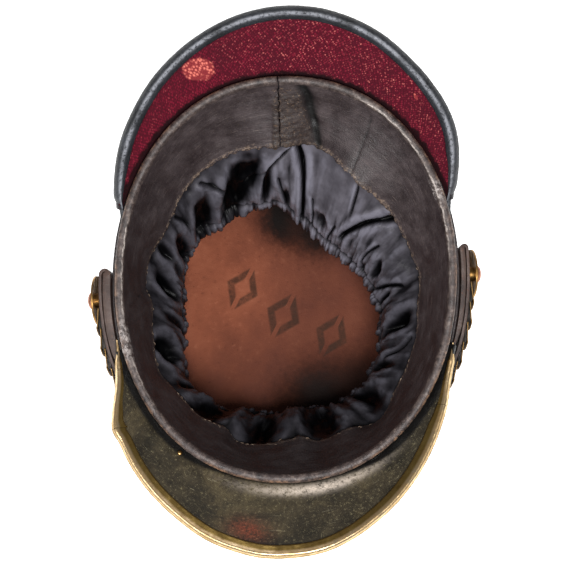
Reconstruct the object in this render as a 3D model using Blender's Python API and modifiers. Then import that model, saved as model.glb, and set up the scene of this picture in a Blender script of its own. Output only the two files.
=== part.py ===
"""Leather-bound shako, lying upside down on its flat crown with the opening up.

Metres, +Z up. +X is the wearer's right, -Y the front, +Y the neck side.
The origin is the centre of the crown's flat outer face.
Angles are in degrees round the rim, 0 at +X, 90 at the neck, 270 at the front.
"""
import math

import bpy
from mathutils import Matrix, Vector

# Rim and crown, measured over the leather
RIM_WIDTH = 0.1714
RIM_LENGTH = 0.2044
RIM_SQUARENESS = 2.13
RIM_SKEW = -3.6
RIM_TILT = 9.0
CROWN_WIDTH = 0.136
CROWN_LENGTH = 0.154
CROWN_FORWARD = 0.012
HAT_DEPTH = 0.112
CROWN_SKIRT = 0.014
CROWN_EDGE_RADIUS = 0.0016

# Thicknesses and fits
CLEARANCE = 0.0003
WALL_THICK = 0.0018
CROWN_THICK = 0.0022
BAND_THICK = 0.0010
LINING_THICK = 0.0010
VISOR_THICK = 0.0018
CLOTH_THICK = 0.0010
BINDING_THICK = 0.0010
TRIM_THICK = 0.0008
BASE_THICK = 0.0013
STRAP_THICK = 0.0016
SCALE_THICK = 0.0006
KEEPER_THICK = 0.0007

# Sweatband and lining
BAND_WIDTH = 0.042
BAND_HEM = 0.012
BAND_SEAM_ANGLE = 90.3
BAND_SEAM_GAP = 0.0006
LINING_TUCK = 0.006
OPENING_DEPTH = 0.080
OPENING_RADIUS = 0.055
OPENING_FORWARD = 0.0155
LINING_PUFF = 0.006
FOLD_DEPTH = 0.007
GATHER_DEPTH = 0.0016
GATHERS = 36

# Outer base band
BASE_TOP = 0.009
BASE_BOTTOM = 0.032

# Peaks: reach is measured in the rim's plane from the rim's outer face
FRONT_REACH = 0.035
FRONT_SLOPE = 38.0
REAR_REACH = 0.0305
REAR_SLOPE = 40.0
FLANGE_TOP = 0.006
FLANGE_BOTTOM = 0.018
PEAK_SAG = 0.0010
TRIM_LEG = 0.0052
TRIM_CORNERS = (219.5, 319.5)
TRIM_INSET = 1.5
BINDING_LEG = 0.0042
CLOTH_START = 0.0022
PIN_ANGLE = 236.5
PIN_DIAMETER = 0.0026
PIN_OUT = 0.0034

# Chin strap, its scales and rosettes
ROSETTE_ANGLES = {"right": 1.6, "left": 182.7}
FRONT_ANGLE = 270.0
STRAP_WIDTH_ROSETTE = 0.024
STRAP_WIDTH_FRONT = 0.016
STRAP_DOWN_ROSETTE = 0.019
STRAP_DOWN_FRONT = 0.022
STRAP_PLY_GAPS = {"right": 0.0014, "left": 0.0030}
STRAP_TURN_BACK = 0.0110
STRAP_TAB = 0.008
SCALE_PITCH = 0.010
SCALE_LENGTH = 0.0145
SCALE_START = 0.0042
SCALE_BULGE = 0.0007
SCALE_TILT = 7.0
SCALE_MARGIN = 0.0004
ROSETTE_DIAMETER = 0.025
ROSETTE_THICK = 0.0009
ROSETTE_LIFT = 0.0032
ROSETTE_DISH = 0.0011
ROSETTE_HUB = 0.0072
SHANK_DIAMETER = 0.0040
SCREW_HEAD = 0.0090
SCREW_DOME = 0.0027
KEEPER_WIDTH = 0.009

# How finely the round shapes are cut
WALL_COLUMNS = 54
PEAK_COLUMNS = 32
CORNER_COLUMNS = 6
STRAP_COLUMNS = 18
TURN_STEPS = 16

# Free edge of the sweatband: (angle, lean inwards as a share of BAND_WIDTH)
BAND_LEAN = (
    (1, 0.39), (9, 0.46), (20, 0.55), (32, 0.64), (42, 0.75), (52, 0.85), (61, 0.84),
    (70, 0.76), (79, 0.69), (87, 0.76), (97, 0.77), (107, 0.69), (122, 0.61), (138, 0.53),
    (153, 0.50), (165, 0.37), (179, 0.31), (187, 0.39), (199, 0.34), (213, 0.295), (224, 0.375),
    (237, 0.42), (245, 0.47), (251, 0.38), (262, 0.44), (273, 0.54), (280, 0.435), (289, 0.455),
    (303, 0.29), (316, 0.355), (334, 0.375), (350, 0.40),
)

# Drawn opening of the lining: (angle about its own centre, radius as a share of OPENING_RADIUS)
OPENING_OUTLINE = (
    (4, 0.88), (21, 0.835), (42, 0.77), (60, 0.78), (72, 0.83), (82, 0.93), (92, 1.09),
    (104, 1.10), (122, 1.09), (136, 1.135), (151, 1.11), (166, 1.02), (180, 0.995), (195, 1.02),
    (208, 1.11), (219, 1.17), (231, 1.09), (244, 0.99), (262, 0.91), (277, 0.885), (292, 0.94),
    (312, 0.965), (336, 0.95), (349, 0.91),
)

# Deep folds of the lining: (angle, half width in degrees, depth share, start share, end share)
LINING_FOLDS = (
    (11, 4.5, 0.55, 0.30, 1.00),
    (31, 5.0, 0.80, 0.10, 0.85),
    (80, 4.5, 1.00, 0.00, 0.90),
    (119, 6.5, 1.00, 0.10, 0.75),
    (142, 5.5, 0.90, 0.15, 0.80),
    (158, 5.0, 0.75, 0.25, 0.95),
    (181, 5.5, 0.90, 0.05, 0.80),
    (207, 5.0, 0.75, 0.05, 0.75),
    (232, 6.0, 0.80, 0.15, 0.85),
    (258, 6.0, 0.70, 0.10, 0.80),
    (287, 6.0, 0.80, 0.10, 0.80),
    (313, 5.5, 0.70, 0.15, 0.85),
    (339, 5.0, 0.85, 0.10, 0.80),
    (358, 4.0, 0.60, 0.10, 0.85),
)

# Outer edges of the peaks: (angle, width as a share of the peak's reach)
FRONT_OUTLINE = (
    (201, 0.10), (206, 0.15), (211, 0.25), (216, 0.43), (219.5, 0.55), (223, 0.57), (229, 0.65),
    (236, 0.735), (244, 0.825), (251, 0.915), (258, 0.97), (264, 1.00), (270, 0.985), (276, 0.95),
    (282, 0.87), (288, 0.77), (294, 0.675), (301, 0.56), (307, 0.46), (313, 0.365), (317, 0.305),
    (320, 0.26), (325, 0.175), (331, 0.12), (337, 0.10),
)
REAR_OUTLINE = (
    (24, 0.11), (28, 0.22), (33, 0.385), (38, 0.53), (43.5, 0.635), (51, 0.72), (59, 0.80),
    (67, 0.895), (75, 0.96), (83, 1.00), (91, 0.985), (100, 0.92), (110, 0.81), (120, 0.69),
    (130, 0.55), (139, 0.42), (147, 0.275), (155, 0.12),
)

# What the strap lies on, from rosette to front: (share of the way, name of the layer)
STRAP_LIFT = ((0.0, "doubled"), (0.12, "doubled"), (0.75, "flat"), (0.82, "flat"), (0.93, "keeper"),
              (1.0, "keeper"))

PARTS = "shako"
CUTTERS = "cutters"

SIDE = Vector((1.0, 0.0, 0.0))
BACK = Vector((0.0, math.cos(math.radians(RIM_TILT)), math.sin(math.radians(RIM_TILT))))
OPEN = Vector((0.0, -math.sin(math.radians(RIM_TILT)), math.cos(math.radians(RIM_TILT))))
RIM_CENTRE = BACK * CROWN_FORWARD + OPEN * HAT_DEPTH

# Layers on the wall, as distances out from its outer face
HEM_FACE = CLEARANCE + BAND_THICK
FLANGE_MIDDLE = HEM_FACE + CLEARANCE + VISOR_THICK / 2
FLANGE_FACE = HEM_FACE + CLEARANCE + VISOR_THICK
BASE_MIDDLE = FLANGE_FACE + CLEARANCE + BASE_THICK / 2
TAB_MIDDLE = BASE_MIDDLE + BASE_THICK / 2 + CLEARANCE + STRAP_THICK / 2
BORE_RADIUS = SHANK_DIAMETER / 2 + CLEARANCE

# Where the lining's upper edge lies behind the sweatband, as a share of the band's width
BAND_TUCK = 1.0 - LINING_TUCK / BAND_WIDTH


def clear_scene():
    for old in list(bpy.data.objects):
        bpy.data.objects.remove(old, do_unlink=True)
    for name in (PARTS, CUTTERS):
        group = bpy.data.collections.get(name)
        if group is None:
            group = bpy.data.collections.new(name)
        if name not in bpy.context.scene.collection.children:
            bpy.context.scene.collection.children.link(group)


def linear(channel):
    """Linear value of an sRGB channel from 0 to 255."""
    share = channel / 255.0
    return share / 12.92 if share <= 0.04045 else ((share + 0.055) / 1.055) ** 2.4


def make_material(name, red, green, blue, roughness, metallic=0.0):
    material = bpy.data.materials.get(name) or bpy.data.materials.new(name)
    material.use_nodes = True
    shader = material.node_tree.nodes["Principled BSDF"]
    shader.inputs["Base Color"].default_value = (linear(red), linear(green), linear(blue), 1.0)
    shader.inputs["Roughness"].default_value = roughness
    shader.inputs["Metallic"].default_value = metallic
    return material


def black_felt():
    return make_material("black_felt", 44, 42, 46, 0.9)


def tan_leather():
    return make_material("tan_leather", 126, 74, 54, 0.6)


def dark_leather():
    return make_material("dark_leather", 62, 51, 50, 0.5)


def black_leather():
    return make_material("black_leather", 54, 50, 54, 0.45)


def green_leather():
    return make_material("green_leather", 72, 64, 50, 0.4)


def red_cloth():
    return make_material("red_cloth", 113, 33, 44, 0.9)


def satin():
    return make_material("satin", 46, 44, 50, 0.35)


def brass():
    return make_material("brass", 190, 148, 90, 0.35, 1.0)


def copper():
    return make_material("copper", 176, 120, 96, 0.4, 1.0)


def strap_leather():
    return make_material("strap_leather", 78, 64, 58, 0.55)


def eased(share):
    """A share from 0 to 1 with level ends."""
    share = min(max(share, 0.0), 1.0)
    return share * share * (3.0 - 2.0 * share)


def curve_value(rows, place, period=None):
    """Value at a place on a smooth curve through (place, value) rows."""
    knots = [row[0] for row in rows]
    values = [row[1] for row in rows]
    if period is not None:
        place = knots[0] + (place - knots[0]) % period
        knots = [knots[-1] - period] + knots + [knots[0] + period, knots[1] + period]
        values = [values[-1]] + values + [values[0], values[1]]
    if place <= knots[0]:
        return values[0]
    if place >= knots[-1]:
        return values[-1]
    slot = max(i for i, knot in enumerate(knots) if knot <= place)

    def rise(i):
        return (values[i + 1] - values[i]) / (knots[i + 1] - knots[i])

    def tangent(i):
        if i == 0:
            return rise(0)
        if i == len(knots) - 1:
            return rise(i - 1)
        if rise(i - 1) * rise(i) <= 0.0:
            return 0.0
        return (values[i + 1] - values[i - 1]) / (knots[i + 1] - knots[i - 1])

    span = knots[slot + 1] - knots[slot]
    t = (place - knots[slot]) / span
    return (values[slot] * (2 * t**3 - 3 * t**2 + 1) + tangent(slot) * span * (t**3 - 2 * t**2 + t)
            + values[slot + 1] * (3 * t**2 - 2 * t**3) + tangent(slot + 1) * span * (t**3 - t**2))


def turn(angle):
    """Cosine and sine of an angle in degrees."""
    return math.cos(math.radians(angle)), math.sin(math.radians(angle))


def outline_radius(angle, width, length, skew=0.0):
    """Radius of a squared oval at an angle."""
    across, along = turn(angle - skew)
    power = RIM_SQUARENESS
    total = abs(2 * across / width) ** power + abs(2 * along / length) ** power
    return total ** (-1.0 / power)


def outward(angle):
    """Unit vector in the rim's plane, away from the rim's centre."""
    across, along = turn(angle)
    return SIDE * across + BACK * along


def rim_radius(angle):
    return outline_radius(angle, RIM_WIDTH, RIM_LENGTH, RIM_SKEW)


def rim_place(angle, out, height):
    """A place measured from the rim's outer face, out in its plane and up out of the opening."""
    return RIM_CENTRE + outward(angle) * (rim_radius(angle) + out) + OPEN * height


def wall_top(angle):
    """Outer corner of the wall's upper edge, inside the folded sweatband."""
    return rim_place(angle, -HEM_FACE, -HEM_FACE)


def wall_foot(angle, out=0.0):
    """Where the wall's outer face meets the floor of the crown's outer face."""
    across, along = turn(angle)
    inset = CLEARANCE + CROWN_THICK
    radius = outline_radius(angle, CROWN_WIDTH - 2 * inset, CROWN_LENGTH - 2 * inset)
    return Vector((across, along, 0.0)) * (radius + out)


def wall_down(angle):
    """Unit vector down the wall, from rim to crown."""
    return (wall_foot(angle) - wall_top(angle)).normalized()


def wall_face(angle):
    """Unit vector out of the wall, square to the way down."""
    down = wall_down(angle)
    away = outward(angle)
    return (away - down * away.dot(down)).normalized()


def wall_place(angle, down, out=0.0):
    """A place on the wall: down from its upper edge, and out from its outer face."""
    return wall_top(angle) + wall_down(angle) * down + wall_face(angle) * out


def wall_length(angle, height):
    """Distance down the wall to a height above the floor."""
    top = wall_top(angle)
    return (wall_foot(angle) - top).length * (1.0 - height / top.z)


def place_object(name, mesh, material, matrix=None, group=PARTS):
    body = bpy.data.objects.new(name, mesh)
    bpy.data.collections[group].objects.link(body)
    if matrix is not None:
        body.matrix_world = matrix
    if material is not None:
        body.data.materials.append(material)
    return body


def sheet_mesh(name, rows, closed):
    """A quad sheet through rows of points, closed round its columns where asked."""
    columns = len(rows[0])
    points = [tuple(point) for row in rows for point in row]
    faces = []
    for r in range(len(rows) - 1):
        for c in range(columns if closed else columns - 1):
            n = (c + 1) % columns
            faces.append((r * columns + c, r * columns + n, (r + 1) * columns + n, (r + 1) * columns + c))
    mesh = bpy.data.meshes.new(name)
    mesh.from_pydata(points, [], faces)
    mesh.validate()
    mesh.shade_smooth()
    return mesh


def sheet(name, rows, thickness, material, closed=False, offset=0.0):
    """A leather, cloth or brass sheet with a real thickness."""
    body = place_object(name, sheet_mesh(name, rows, closed), material)
    solid = body.modifiers.new("thickness", "SOLIDIFY")
    solid.thickness = thickness
    solid.offset = offset
    solid.use_even_offset = True
    return body


def swept_section(name, stations, section, material):
    """A closed section carried along stations of (origin, out, up, scale of the section's legs)."""
    points = []
    for origin, out, up, leg in stations:
        points += [tuple(origin + out * (x * leg if x < 0.0 else x) + up * y) for x, y in section]
    sides = len(section)
    faces = []
    for s in range(len(stations) - 1):
        for k in range(sides):
            n = (k + 1) % sides
            faces.append((s * sides + k, s * sides + n, (s + 1) * sides + n, (s + 1) * sides + k))
    faces.append(tuple(reversed(range(sides))))
    faces.append(tuple((len(stations) - 1) * sides + k for k in range(sides)))
    mesh = bpy.data.meshes.new(name)
    mesh.from_pydata(points, [], faces)
    mesh.validate()
    mesh.shade_smooth()
    mesh.set_sharp_from_angle(angle=math.radians(40))
    return place_object(name, mesh, material)


def turned(name, profile, material, matrix, closed, group=PARTS):
    """A shape turned about local Z from (radius, height) points that run down the outer side."""
    mesh = bpy.data.meshes.new(name)
    count = len(profile)
    edges = [(i, i + 1) for i in range(count - 1)]
    if closed:
        edges.append((count - 1, 0))
    mesh.from_pydata([(radius, 0.0, height) for radius, height in profile], edges, [])
    body = place_object(name, mesh, material, matrix, group)
    screw = body.modifiers.new("turned", "SCREW")
    screw.steps = TURN_STEPS
    screw.render_steps = TURN_STEPS
    screw.use_merge_vertices = True
    screw.merge_threshold = 0.00001
    return body


def ring_angles(count, start=BAND_SEAM_ANGLE, sweep=360.0, both_ends=False):
    steps = count - 1 if both_ends else count
    return [start + sweep * i / steps for i in range(count)]


def build_body():
    """The hollow wall from the rim down to the crown disc."""
    middle = -WALL_THICK / 2
    rows = []
    for share in (0.0, 0.5, 1.0):
        rows.append([wall_place(angle, wall_length(angle, CROWN_THICK + CLEARANCE) * share, middle)
                     for angle in ring_angles(WALL_COLUMNS)])
    return sheet("body", rows, WALL_THICK, black_felt(), closed=True)


def build_crown_top():
    """The crown's flat disc with its edge turned over onto the wall."""
    face = CLEARANCE + CROWN_THICK
    angles = ring_angles(WALL_COLUMNS)
    rows = [[wall_foot(angle, face - CROWN_EDGE_RADIUS) for angle in angles]]
    lift = CROWN_EDGE_RADIUS * (1.0 - math.sqrt(0.5))
    rows.append([wall_foot(angle, face - lift) + Vector((0.0, 0.0, lift)) for angle in angles])
    for height in (CROWN_EDGE_RADIUS, CROWN_SKIRT):
        rows.append([wall_place(angle, wall_length(angle, height), face) for angle in angles])
    mesh = sheet_mesh("crown_top", rows, closed=True)
    body = place_object("crown_top", mesh, tan_leather())
    close_centre(mesh, len(angles))
    solid = body.modifiers.new("thickness", "SOLIDIFY")
    solid.thickness = CROWN_THICK
    solid.offset = -1.0
    solid.use_even_offset = True
    return body


def close_centre(mesh, columns):
    """Fills the inner ring of a disc with one flat face."""
    points = [vertex.co.copy() for vertex in mesh.vertices]
    faces = [tuple(face.vertices) for face in mesh.polygons]
    faces.append(tuple(reversed(range(columns))))
    mesh.clear_geometry()
    mesh.from_pydata(points, [], faces)
    mesh.validate()


def build_base_band(bores):
    """The leather band that covers the flanges of both peaks."""
    angles = ring_angles(WALL_COLUMNS)
    rows = []
    for down in (BASE_TOP, BASE_BOTTOM):
        rows.append([wall_place(angle, down, BASE_MIDDLE) for angle in angles])
    body = sheet("base_band", rows, BASE_THICK, black_leather(), closed=True)
    for bore in bores:
        cut(body, bore)
    return body


def band_edge(angle):
    """Free edge of the sweatband, as (lean inwards, depth below the rim)."""
    lean = BAND_WIDTH * curve_value(BAND_LEAN, angle, period=360.0)
    return lean, math.sqrt(BAND_WIDTH**2 - lean**2)


def band_inner_place(angle, share):
    """Middle of the sweatband's inner leaf, from the fold (0) to the free edge (1)."""
    fold_out = -WALL_THICK - CLEARANCE - BAND_THICK / 2
    start = wall_place(angle, 0.0, fold_out)
    lean, depth = band_edge(angle)
    end = rim_place(angle, -lean, -depth)
    hold = wall_place(angle, 0.3 * BAND_WIDTH, fold_out - 0.05 * BAND_WIDTH)
    return start * (1 - share) ** 2 + hold * 2 * share * (1 - share) + end * share**2


def build_sweatband():
    """The head band, folded over the rim, butted at the neck."""
    gap = math.degrees(BAND_SEAM_GAP / rim_radius(BAND_SEAM_ANGLE)) / 2
    angles = ring_angles(WALL_COLUMNS + 1, BAND_SEAM_ANGLE + gap, 360.0 - 2 * gap, both_ends=True)
    middle = CLEARANCE + BAND_THICK / 2
    radius = WALL_THICK / 2 + middle
    rows = [[wall_place(angle, BAND_HEM, middle) for angle in angles]]
    for swing in (0.0, 60.0, 120.0):
        across, along = turn(swing)
        rows.append([wall_place(angle, -radius * along, radius * across - WALL_THICK / 2)
                     for angle in angles])
    for share in (0.0, 0.4, BAND_TUCK, 1.0):
        rows.append([band_inner_place(angle, share) for angle in angles])
    return sheet("sweatband", rows, BAND_THICK, dark_leather())


def fold_depth(angle, share):
    """How deep the lining's folds are at a place, as a share of FOLD_DEPTH."""
    deepest = 0.0
    for centre, half_width, depth, start, end in LINING_FOLDS:
        away = abs((angle - centre + 180.0) % 360.0 - 180.0) / half_width
        if away >= 1.0 or not start < share < end:
            continue
        along = math.sin(math.pi * (share - start) / (end - start))
        deepest = max(deepest, depth * along * (1.0 - away * away))
    return deepest


def behind_band(angle, share):
    """Middle of the lining where it lies on the sweatband's hidden side."""
    step = 0.01
    on_band = band_inner_place(angle, share)
    way = (on_band - band_inner_place(angle, share - step)).normalized()
    side = band_inner_place(angle + 1.0, share) - band_inner_place(angle - 1.0, share)
    hidden = way.cross(side).normalized()
    return on_band + hidden * (BAND_THICK / 2 + 2 * CLEARANCE + LINING_THICK / 2)


def behind_band_ring(share):
    """Places behind the sweatband at the lining's columns, two to each of the sweatband's."""
    ring = [behind_band(angle, share) for angle in ring_angles(WALL_COLUMNS)]
    places = []
    for here, after in zip(ring, ring[1:] + ring[:1]):
        places += [here, (here + after) / 2]
    return places


def lining_place(start, angle, share):
    """Middle of the lining from its start at the sweatband's edge to its drawn opening."""
    across, along = turn(angle)
    radius = OPENING_RADIUS * curve_value(OPENING_OUTLINE, angle, period=360.0)
    end = (RIM_CENTRE + SIDE * (radius * across) + BACK * (radius * along - OPENING_FORWARD)
           - OPEN * OPENING_DEPTH)
    puff = LINING_PUFF * math.sin(math.pi * share) ** 2
    fold = FOLD_DEPTH * fold_depth(angle, share)
    gather = GATHER_DEPTH * share**1.5 * math.cos(math.radians(angle) * GATHERS)
    swell = (OPEN - outward(angle)).normalized()
    return start.lerp(end, share) + swell * (puff - fold + gather)


def build_lining():
    """Gathered satin, drawn in to an opening above the crown."""
    edge = behind_band_ring(1.0)
    rows = [behind_band_ring(BAND_TUCK)]
    for share in (0.0, 0.35, 0.7, 1.0):
        angles = ring_angles(2 * WALL_COLUMNS)
        rows.append([lining_place(start, angle, share) for start, angle in zip(edge, angles)])
    return sheet("lining", rows, LINING_THICK, satin(), closed=True)


class Peak:
    """One peak: a flange on the wall and a plate that slopes out of the opening's plane."""

    def __init__(self, outline, reach, slope, corners=()):
        self.outline = outline
        self.reach = reach
        self.slope = math.tan(math.radians(slope))
        self.spans = self.split(corners)

    def split(self, corners):
        """Lists of angles between the peak's ends and its corners."""
        stops = [self.outline[0][0], *corners, self.outline[-1][0]]
        spans = []
        for first, last in zip(stops, stops[1:]):
            short = corners and last - first < 60.0
            count = CORNER_COLUMNS if short else PEAK_COLUMNS - len(corners) * CORNER_COLUMNS // 2
            spans.append(ring_angles(count, first, last - first, both_ends=True))
        return spans

    def angles(self):
        """All the peak's angles, each corner once."""
        return self.spans[0] + [angle for span in self.spans[1:] for angle in span[1:]]

    def bend(self, angle):
        return wall_place(angle, FLANGE_TOP, FLANGE_MIDDLE)

    def plate_width(self, angle):
        """Width of the plate past its bend, in the rim's plane."""
        bend_radius = (self.bend(angle) - RIM_CENTRE).dot(outward(angle))
        return rim_radius(angle) + self.reach * curve_value(self.outline, angle) - bend_radius

    def middle(self, angle, width):
        """A place on the plate's middle, at a width past the bend."""
        sag = PEAK_SAG * math.sin(math.pi * min(width / self.reach, 1.0))
        return self.bend(angle) + outward(angle) * width + OPEN * (self.slope * width - sag)

    def face(self, angle, width):
        """Unit normal of the plate on the side that faces out of the opening."""
        step = CLOTH_START / 2
        slant = self.middle(angle, width) - self.middle(angle, width - step)
        tangent = self.middle(angle + 1.0, width) - self.middle(angle - 1.0, width)
        return slant.cross(tangent).normalized()

    def place(self, angle, width, lift):
        """A place off the plate's middle, on the side that faces out of the opening."""
        return self.middle(angle, width) + self.face(angle, width) * lift

    def edge(self, angle, leg):
        """Origin, outward and upward unit vectors at the plate's edge, true over a channel's leg."""
        width = self.plate_width(angle)
        before = self.middle(angle - 1.0, self.plate_width(angle - 1.0))
        after = self.middle(angle + 1.0, self.plate_width(angle + 1.0))
        tangent = (after - before).normalized()
        slant = self.middle(angle, width) - self.middle(angle, width - min(leg, width))
        up = slant.cross(tangent).normalized()
        out = tangent.cross(up).normalized()
        return self.middle(angle, width), out, up


def build_peak(name, peak, material):
    """The flange under the base band and the plate."""
    angles = peak.angles()
    rows = [[wall_place(angle, FLANGE_BOTTOM, FLANGE_MIDDLE) for angle in angles]]
    for share in (0.0, 0.35, 0.7, 1.0):
        rows.append([peak.middle(angle, peak.plate_width(angle) * share) for angle in angles])
    return sheet(name, rows, VISOR_THICK, material)


def channel_section(inner_top, inner_bottom, thickness, leg):
    """A folded channel round an edge, open inwards, as (out, up) points."""
    top = inner_top + thickness
    bottom = inner_bottom + thickness
    nose = CLEARANCE + thickness
    return ((-leg, top), (0.0, top), (nose, top * 0.45), (nose, -bottom * 0.45), (0.0, -bottom),
            (-leg, -bottom), (-leg, -inner_bottom), (CLEARANCE, -inner_bottom),
            (CLEARANCE, inner_top), (-leg, inner_top))


def channel(name, peak, angles, section, leg, material):
    """A channel along a peak's edge, its legs shortened where the plate is narrow."""
    stations = []
    for angle in angles:
        origin, out, up = peak.edge(angle, leg)
        room = (peak.plate_width(angle) - VISOR_THICK) * out.dot(outward(angle)) ** 2
        stations.append((origin, out, up, min(1.0, max(room, CLEARANCE) / leg)))
    return swept_section(name, stations, section, material)


def inset(angles, start, end):
    """The same angles with the first and last moved inwards."""
    return [angles[0] + start, *angles[1:-1], angles[-1] - end]


def build_front_trim(peak):
    """Brass edging: one long channel and a short one at each side, butted at the corners."""
    half = VISOR_THICK / 2 + CLEARANCE
    section = channel_section(half, half, TRIM_THICK, TRIM_LEG)
    gap = math.degrees(CLEARANCE / peak.reach) / 2
    left, long, right = peak.spans
    channel("front_visor_trim", peak, inset(long, gap, gap), section, TRIM_LEG, brass())
    channel("front_visor_trim_left", peak, inset(left, TRIM_INSET, gap), section, TRIM_LEG, brass())
    channel("front_visor_trim_right", peak, inset(right, gap, TRIM_INSET), section, TRIM_LEG, brass())


def build_rear_cloth(peak):
    """The cloth on the neck peak's upper side, its edge held in the binding."""
    lift = VISOR_THICK / 2 + CLEARANCE + CLOTH_THICK / 2
    angles = [angle for angle in peak.angles() if peak.plate_width(angle) > 2 * CLOTH_START]
    rows = []
    for share in (0.0, 0.5, 1.0):
        row = []
        for angle in angles:
            end = peak.plate_width(angle) - CLEARANCE
            row.append(peak.place(angle, CLOTH_START + (end - CLOTH_START) * share, lift))
        rows.append(row)
    return sheet("rear_visor_cloth", rows, CLOTH_THICK, red_cloth())


def build_rear_binding(peak):
    """The leather binding folded round the neck peak's edge and its cloth."""
    top = VISOR_THICK / 2 + 2 * CLEARANCE + CLOTH_THICK
    section = channel_section(top, VISOR_THICK / 2 + CLEARANCE, BINDING_THICK, BINDING_LEG)
    angles = inset(peak.angles(), TRIM_INSET, TRIM_INSET)
    channel("rear_visor_binding", peak, angles, section, BINDING_LEG, black_leather())


def build_front_pin(peak):
    """A small brass pin head on the front peak, by the rim."""
    up = peak.face(PIN_ANGLE, PIN_OUT)
    along = outward(PIN_ANGLE + 90.0)
    seat = peak.place(PIN_ANGLE, PIN_OUT, VISOR_THICK / 2 + CLEARANCE)
    radius = PIN_DIAMETER / 2
    profile = ((0.0, radius * 0.8), (radius * 0.6, radius * 0.65), (radius, radius * 0.2), (radius, 0.0),
               (0.0, 0.0))
    matrix = frame_matrix(seat, along, up)
    return turned("front_visor_pin", profile, brass(), matrix, closed=False)


def frame_matrix(origin, along, up):
    """Matrix with local X along, local Z up and the origin given."""
    z = up.normalized()
    x = (along - z * along.dot(z)).normalized()
    y = z.cross(x)
    matrix = Matrix((x, y, z)).transposed().to_4x4()
    matrix.translation = origin
    return matrix


class Strap:
    """One half of the chin strap, from its rosette round to the front centre."""

    def __init__(self, side):
        self.side = side
        self.start = ROSETTE_ANGLES[side]
        finish = FRONT_ANGLE if side == "left" else FRONT_ANGLE - 360.0
        self.sweep = finish - self.start
        self.lengths = self.measure()

    def width(self, share):
        share = max(share, 0.0)
        return STRAP_WIDTH_ROSETTE + (STRAP_WIDTH_FRONT - STRAP_WIDTH_ROSETTE) * share

    def down(self, share):
        return STRAP_DOWN_ROSETTE + (STRAP_DOWN_FRONT - STRAP_DOWN_ROSETTE) * max(share, 0.0)

    def lift(self, share):
        """Middle of the outer ply, out from the wall's outer face."""
        lifts = {
            "doubled": TAB_MIDDLE + STRAP_THICK + STRAP_PLY_GAPS[self.side],
            "flat": TAB_MIDDLE,
            "keeper": TAB_MIDDLE + CLEARANCE + KEEPER_THICK,
        }
        return curve_value([(at, lifts[layer]) for at, layer in STRAP_LIFT], share)

    def place(self, share, up=0.0, out=None):
        """A place on the strap's middle, up across its width."""
        angle = self.start + self.sweep * share
        if out is None:
            out = self.lift(share)
        return wall_place(angle, self.down(share) - up, out)

    def measure(self):
        """Length along the outer ply at even shares of the way."""
        steps = 200
        total = [0.0]
        last = self.place(0.0)
        for i in range(1, steps + 1):
            here = self.place(i / steps)
            total.append(total[-1] + (here - last).length)
            last = here
        return total

    def share_at(self, length):
        """Share of the way at a length along the strap."""
        steps = len(self.lengths) - 1
        if length <= 0.0:
            return length / self.lengths[1] / steps
        for i in range(steps):
            if self.lengths[i + 1] >= length:
                part = (length - self.lengths[i]) / (self.lengths[i + 1] - self.lengths[i])
                return (i + part) / steps
        return 1.0

    def frame(self, share, rise=0.0):
        """Matrix with X along the strap to the front, Y across it and Z out of it."""
        step = 0.004
        along = (self.place(share + step) - self.place(share - step)).normalized()
        down = wall_down(self.start + self.sweep * share)
        out = along.cross(down).normalized()
        if out.dot(outward(self.start + self.sweep * share)) < 0.0:
            out = -out
        return frame_matrix(self.place(share) + out * rise, along, out)


def strap_ribbon(strap):
    """Places along one strap half: its inner tab, its turn behind the rosette, and its long ply."""
    radius = (strap.lift(0.0) - TAB_MIDDLE) / 2
    ribbon = []
    back = strap.share_at(-STRAP_TURN_BACK)
    for share in (strap.share_at(STRAP_TAB), 0.0, back):
        ribbon.append((share, TAB_MIDDLE))
    for swing in (-45.0, 0.0, 45.0):
        across, along = turn(swing)
        share = strap.share_at(-STRAP_TURN_BACK - radius * across)
        ribbon.append((share, TAB_MIDDLE + radius * (1 + along)))
    end = 1.0 - strap.share_at(CLEARANCE)
    for i in range(STRAP_COLUMNS):
        share = back + (end - back) * i / (STRAP_COLUMNS - 1)
        ribbon.append((share, strap.lift(share)))
    return ribbon


def build_strap(strap, bore):
    ribbon = strap_ribbon(strap)
    rows = []
    for edge in (-0.5, 0.5):
        rows.append([strap.place(share, edge * strap.width(share), out) for share, out in ribbon])
    body = sheet("strap_" + strap.side, rows, STRAP_THICK, strap_leather())
    cut(body, bore)
    return body


def scale_mesh(name, width):
    """One brass scale: flat along, arched across, with a rounded free end."""
    rows = [[], []]
    for across in (-1.0, -0.5, 0.0, 0.5, 1.0):
        height = SCALE_BULGE * (1.0 - across * across) + SCALE_THICK / 2
        y = across * width / 2
        rows[0].append(Vector((0.0, y, height)))
        rows[1].append(Vector((SCALE_LENGTH * (1.0 - 0.24 * across * across), y, height)))
    return sheet_mesh(name, rows, closed=False)


def build_scales(strap):
    """Scales that overlap like shingles, their free ends towards the front."""
    room = strap.lengths[-1] - SCALE_START - KEEPER_WIDTH / 2 - SCALE_LENGTH
    count = int(room / SCALE_PITCH) + 1
    for i in range(count):
        name = "scale_%s_%02d" % (strap.side, i + 1)
        share = strap.share_at(SCALE_START + i * SCALE_PITCH)
        frame = strap.frame(share, STRAP_THICK / 2 + CLEARANCE)
        tilt = Matrix.Rotation(math.radians(-SCALE_TILT), 4, "Y")
        mesh = scale_mesh(name, strap.width(share) - 2 * SCALE_MARGIN)
        body = place_object(name, mesh, brass(), frame @ tilt)
        solid = body.modifiers.new("thickness", "SOLIDIFY")
        solid.thickness = SCALE_THICK
        solid.offset = 0.0


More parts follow.
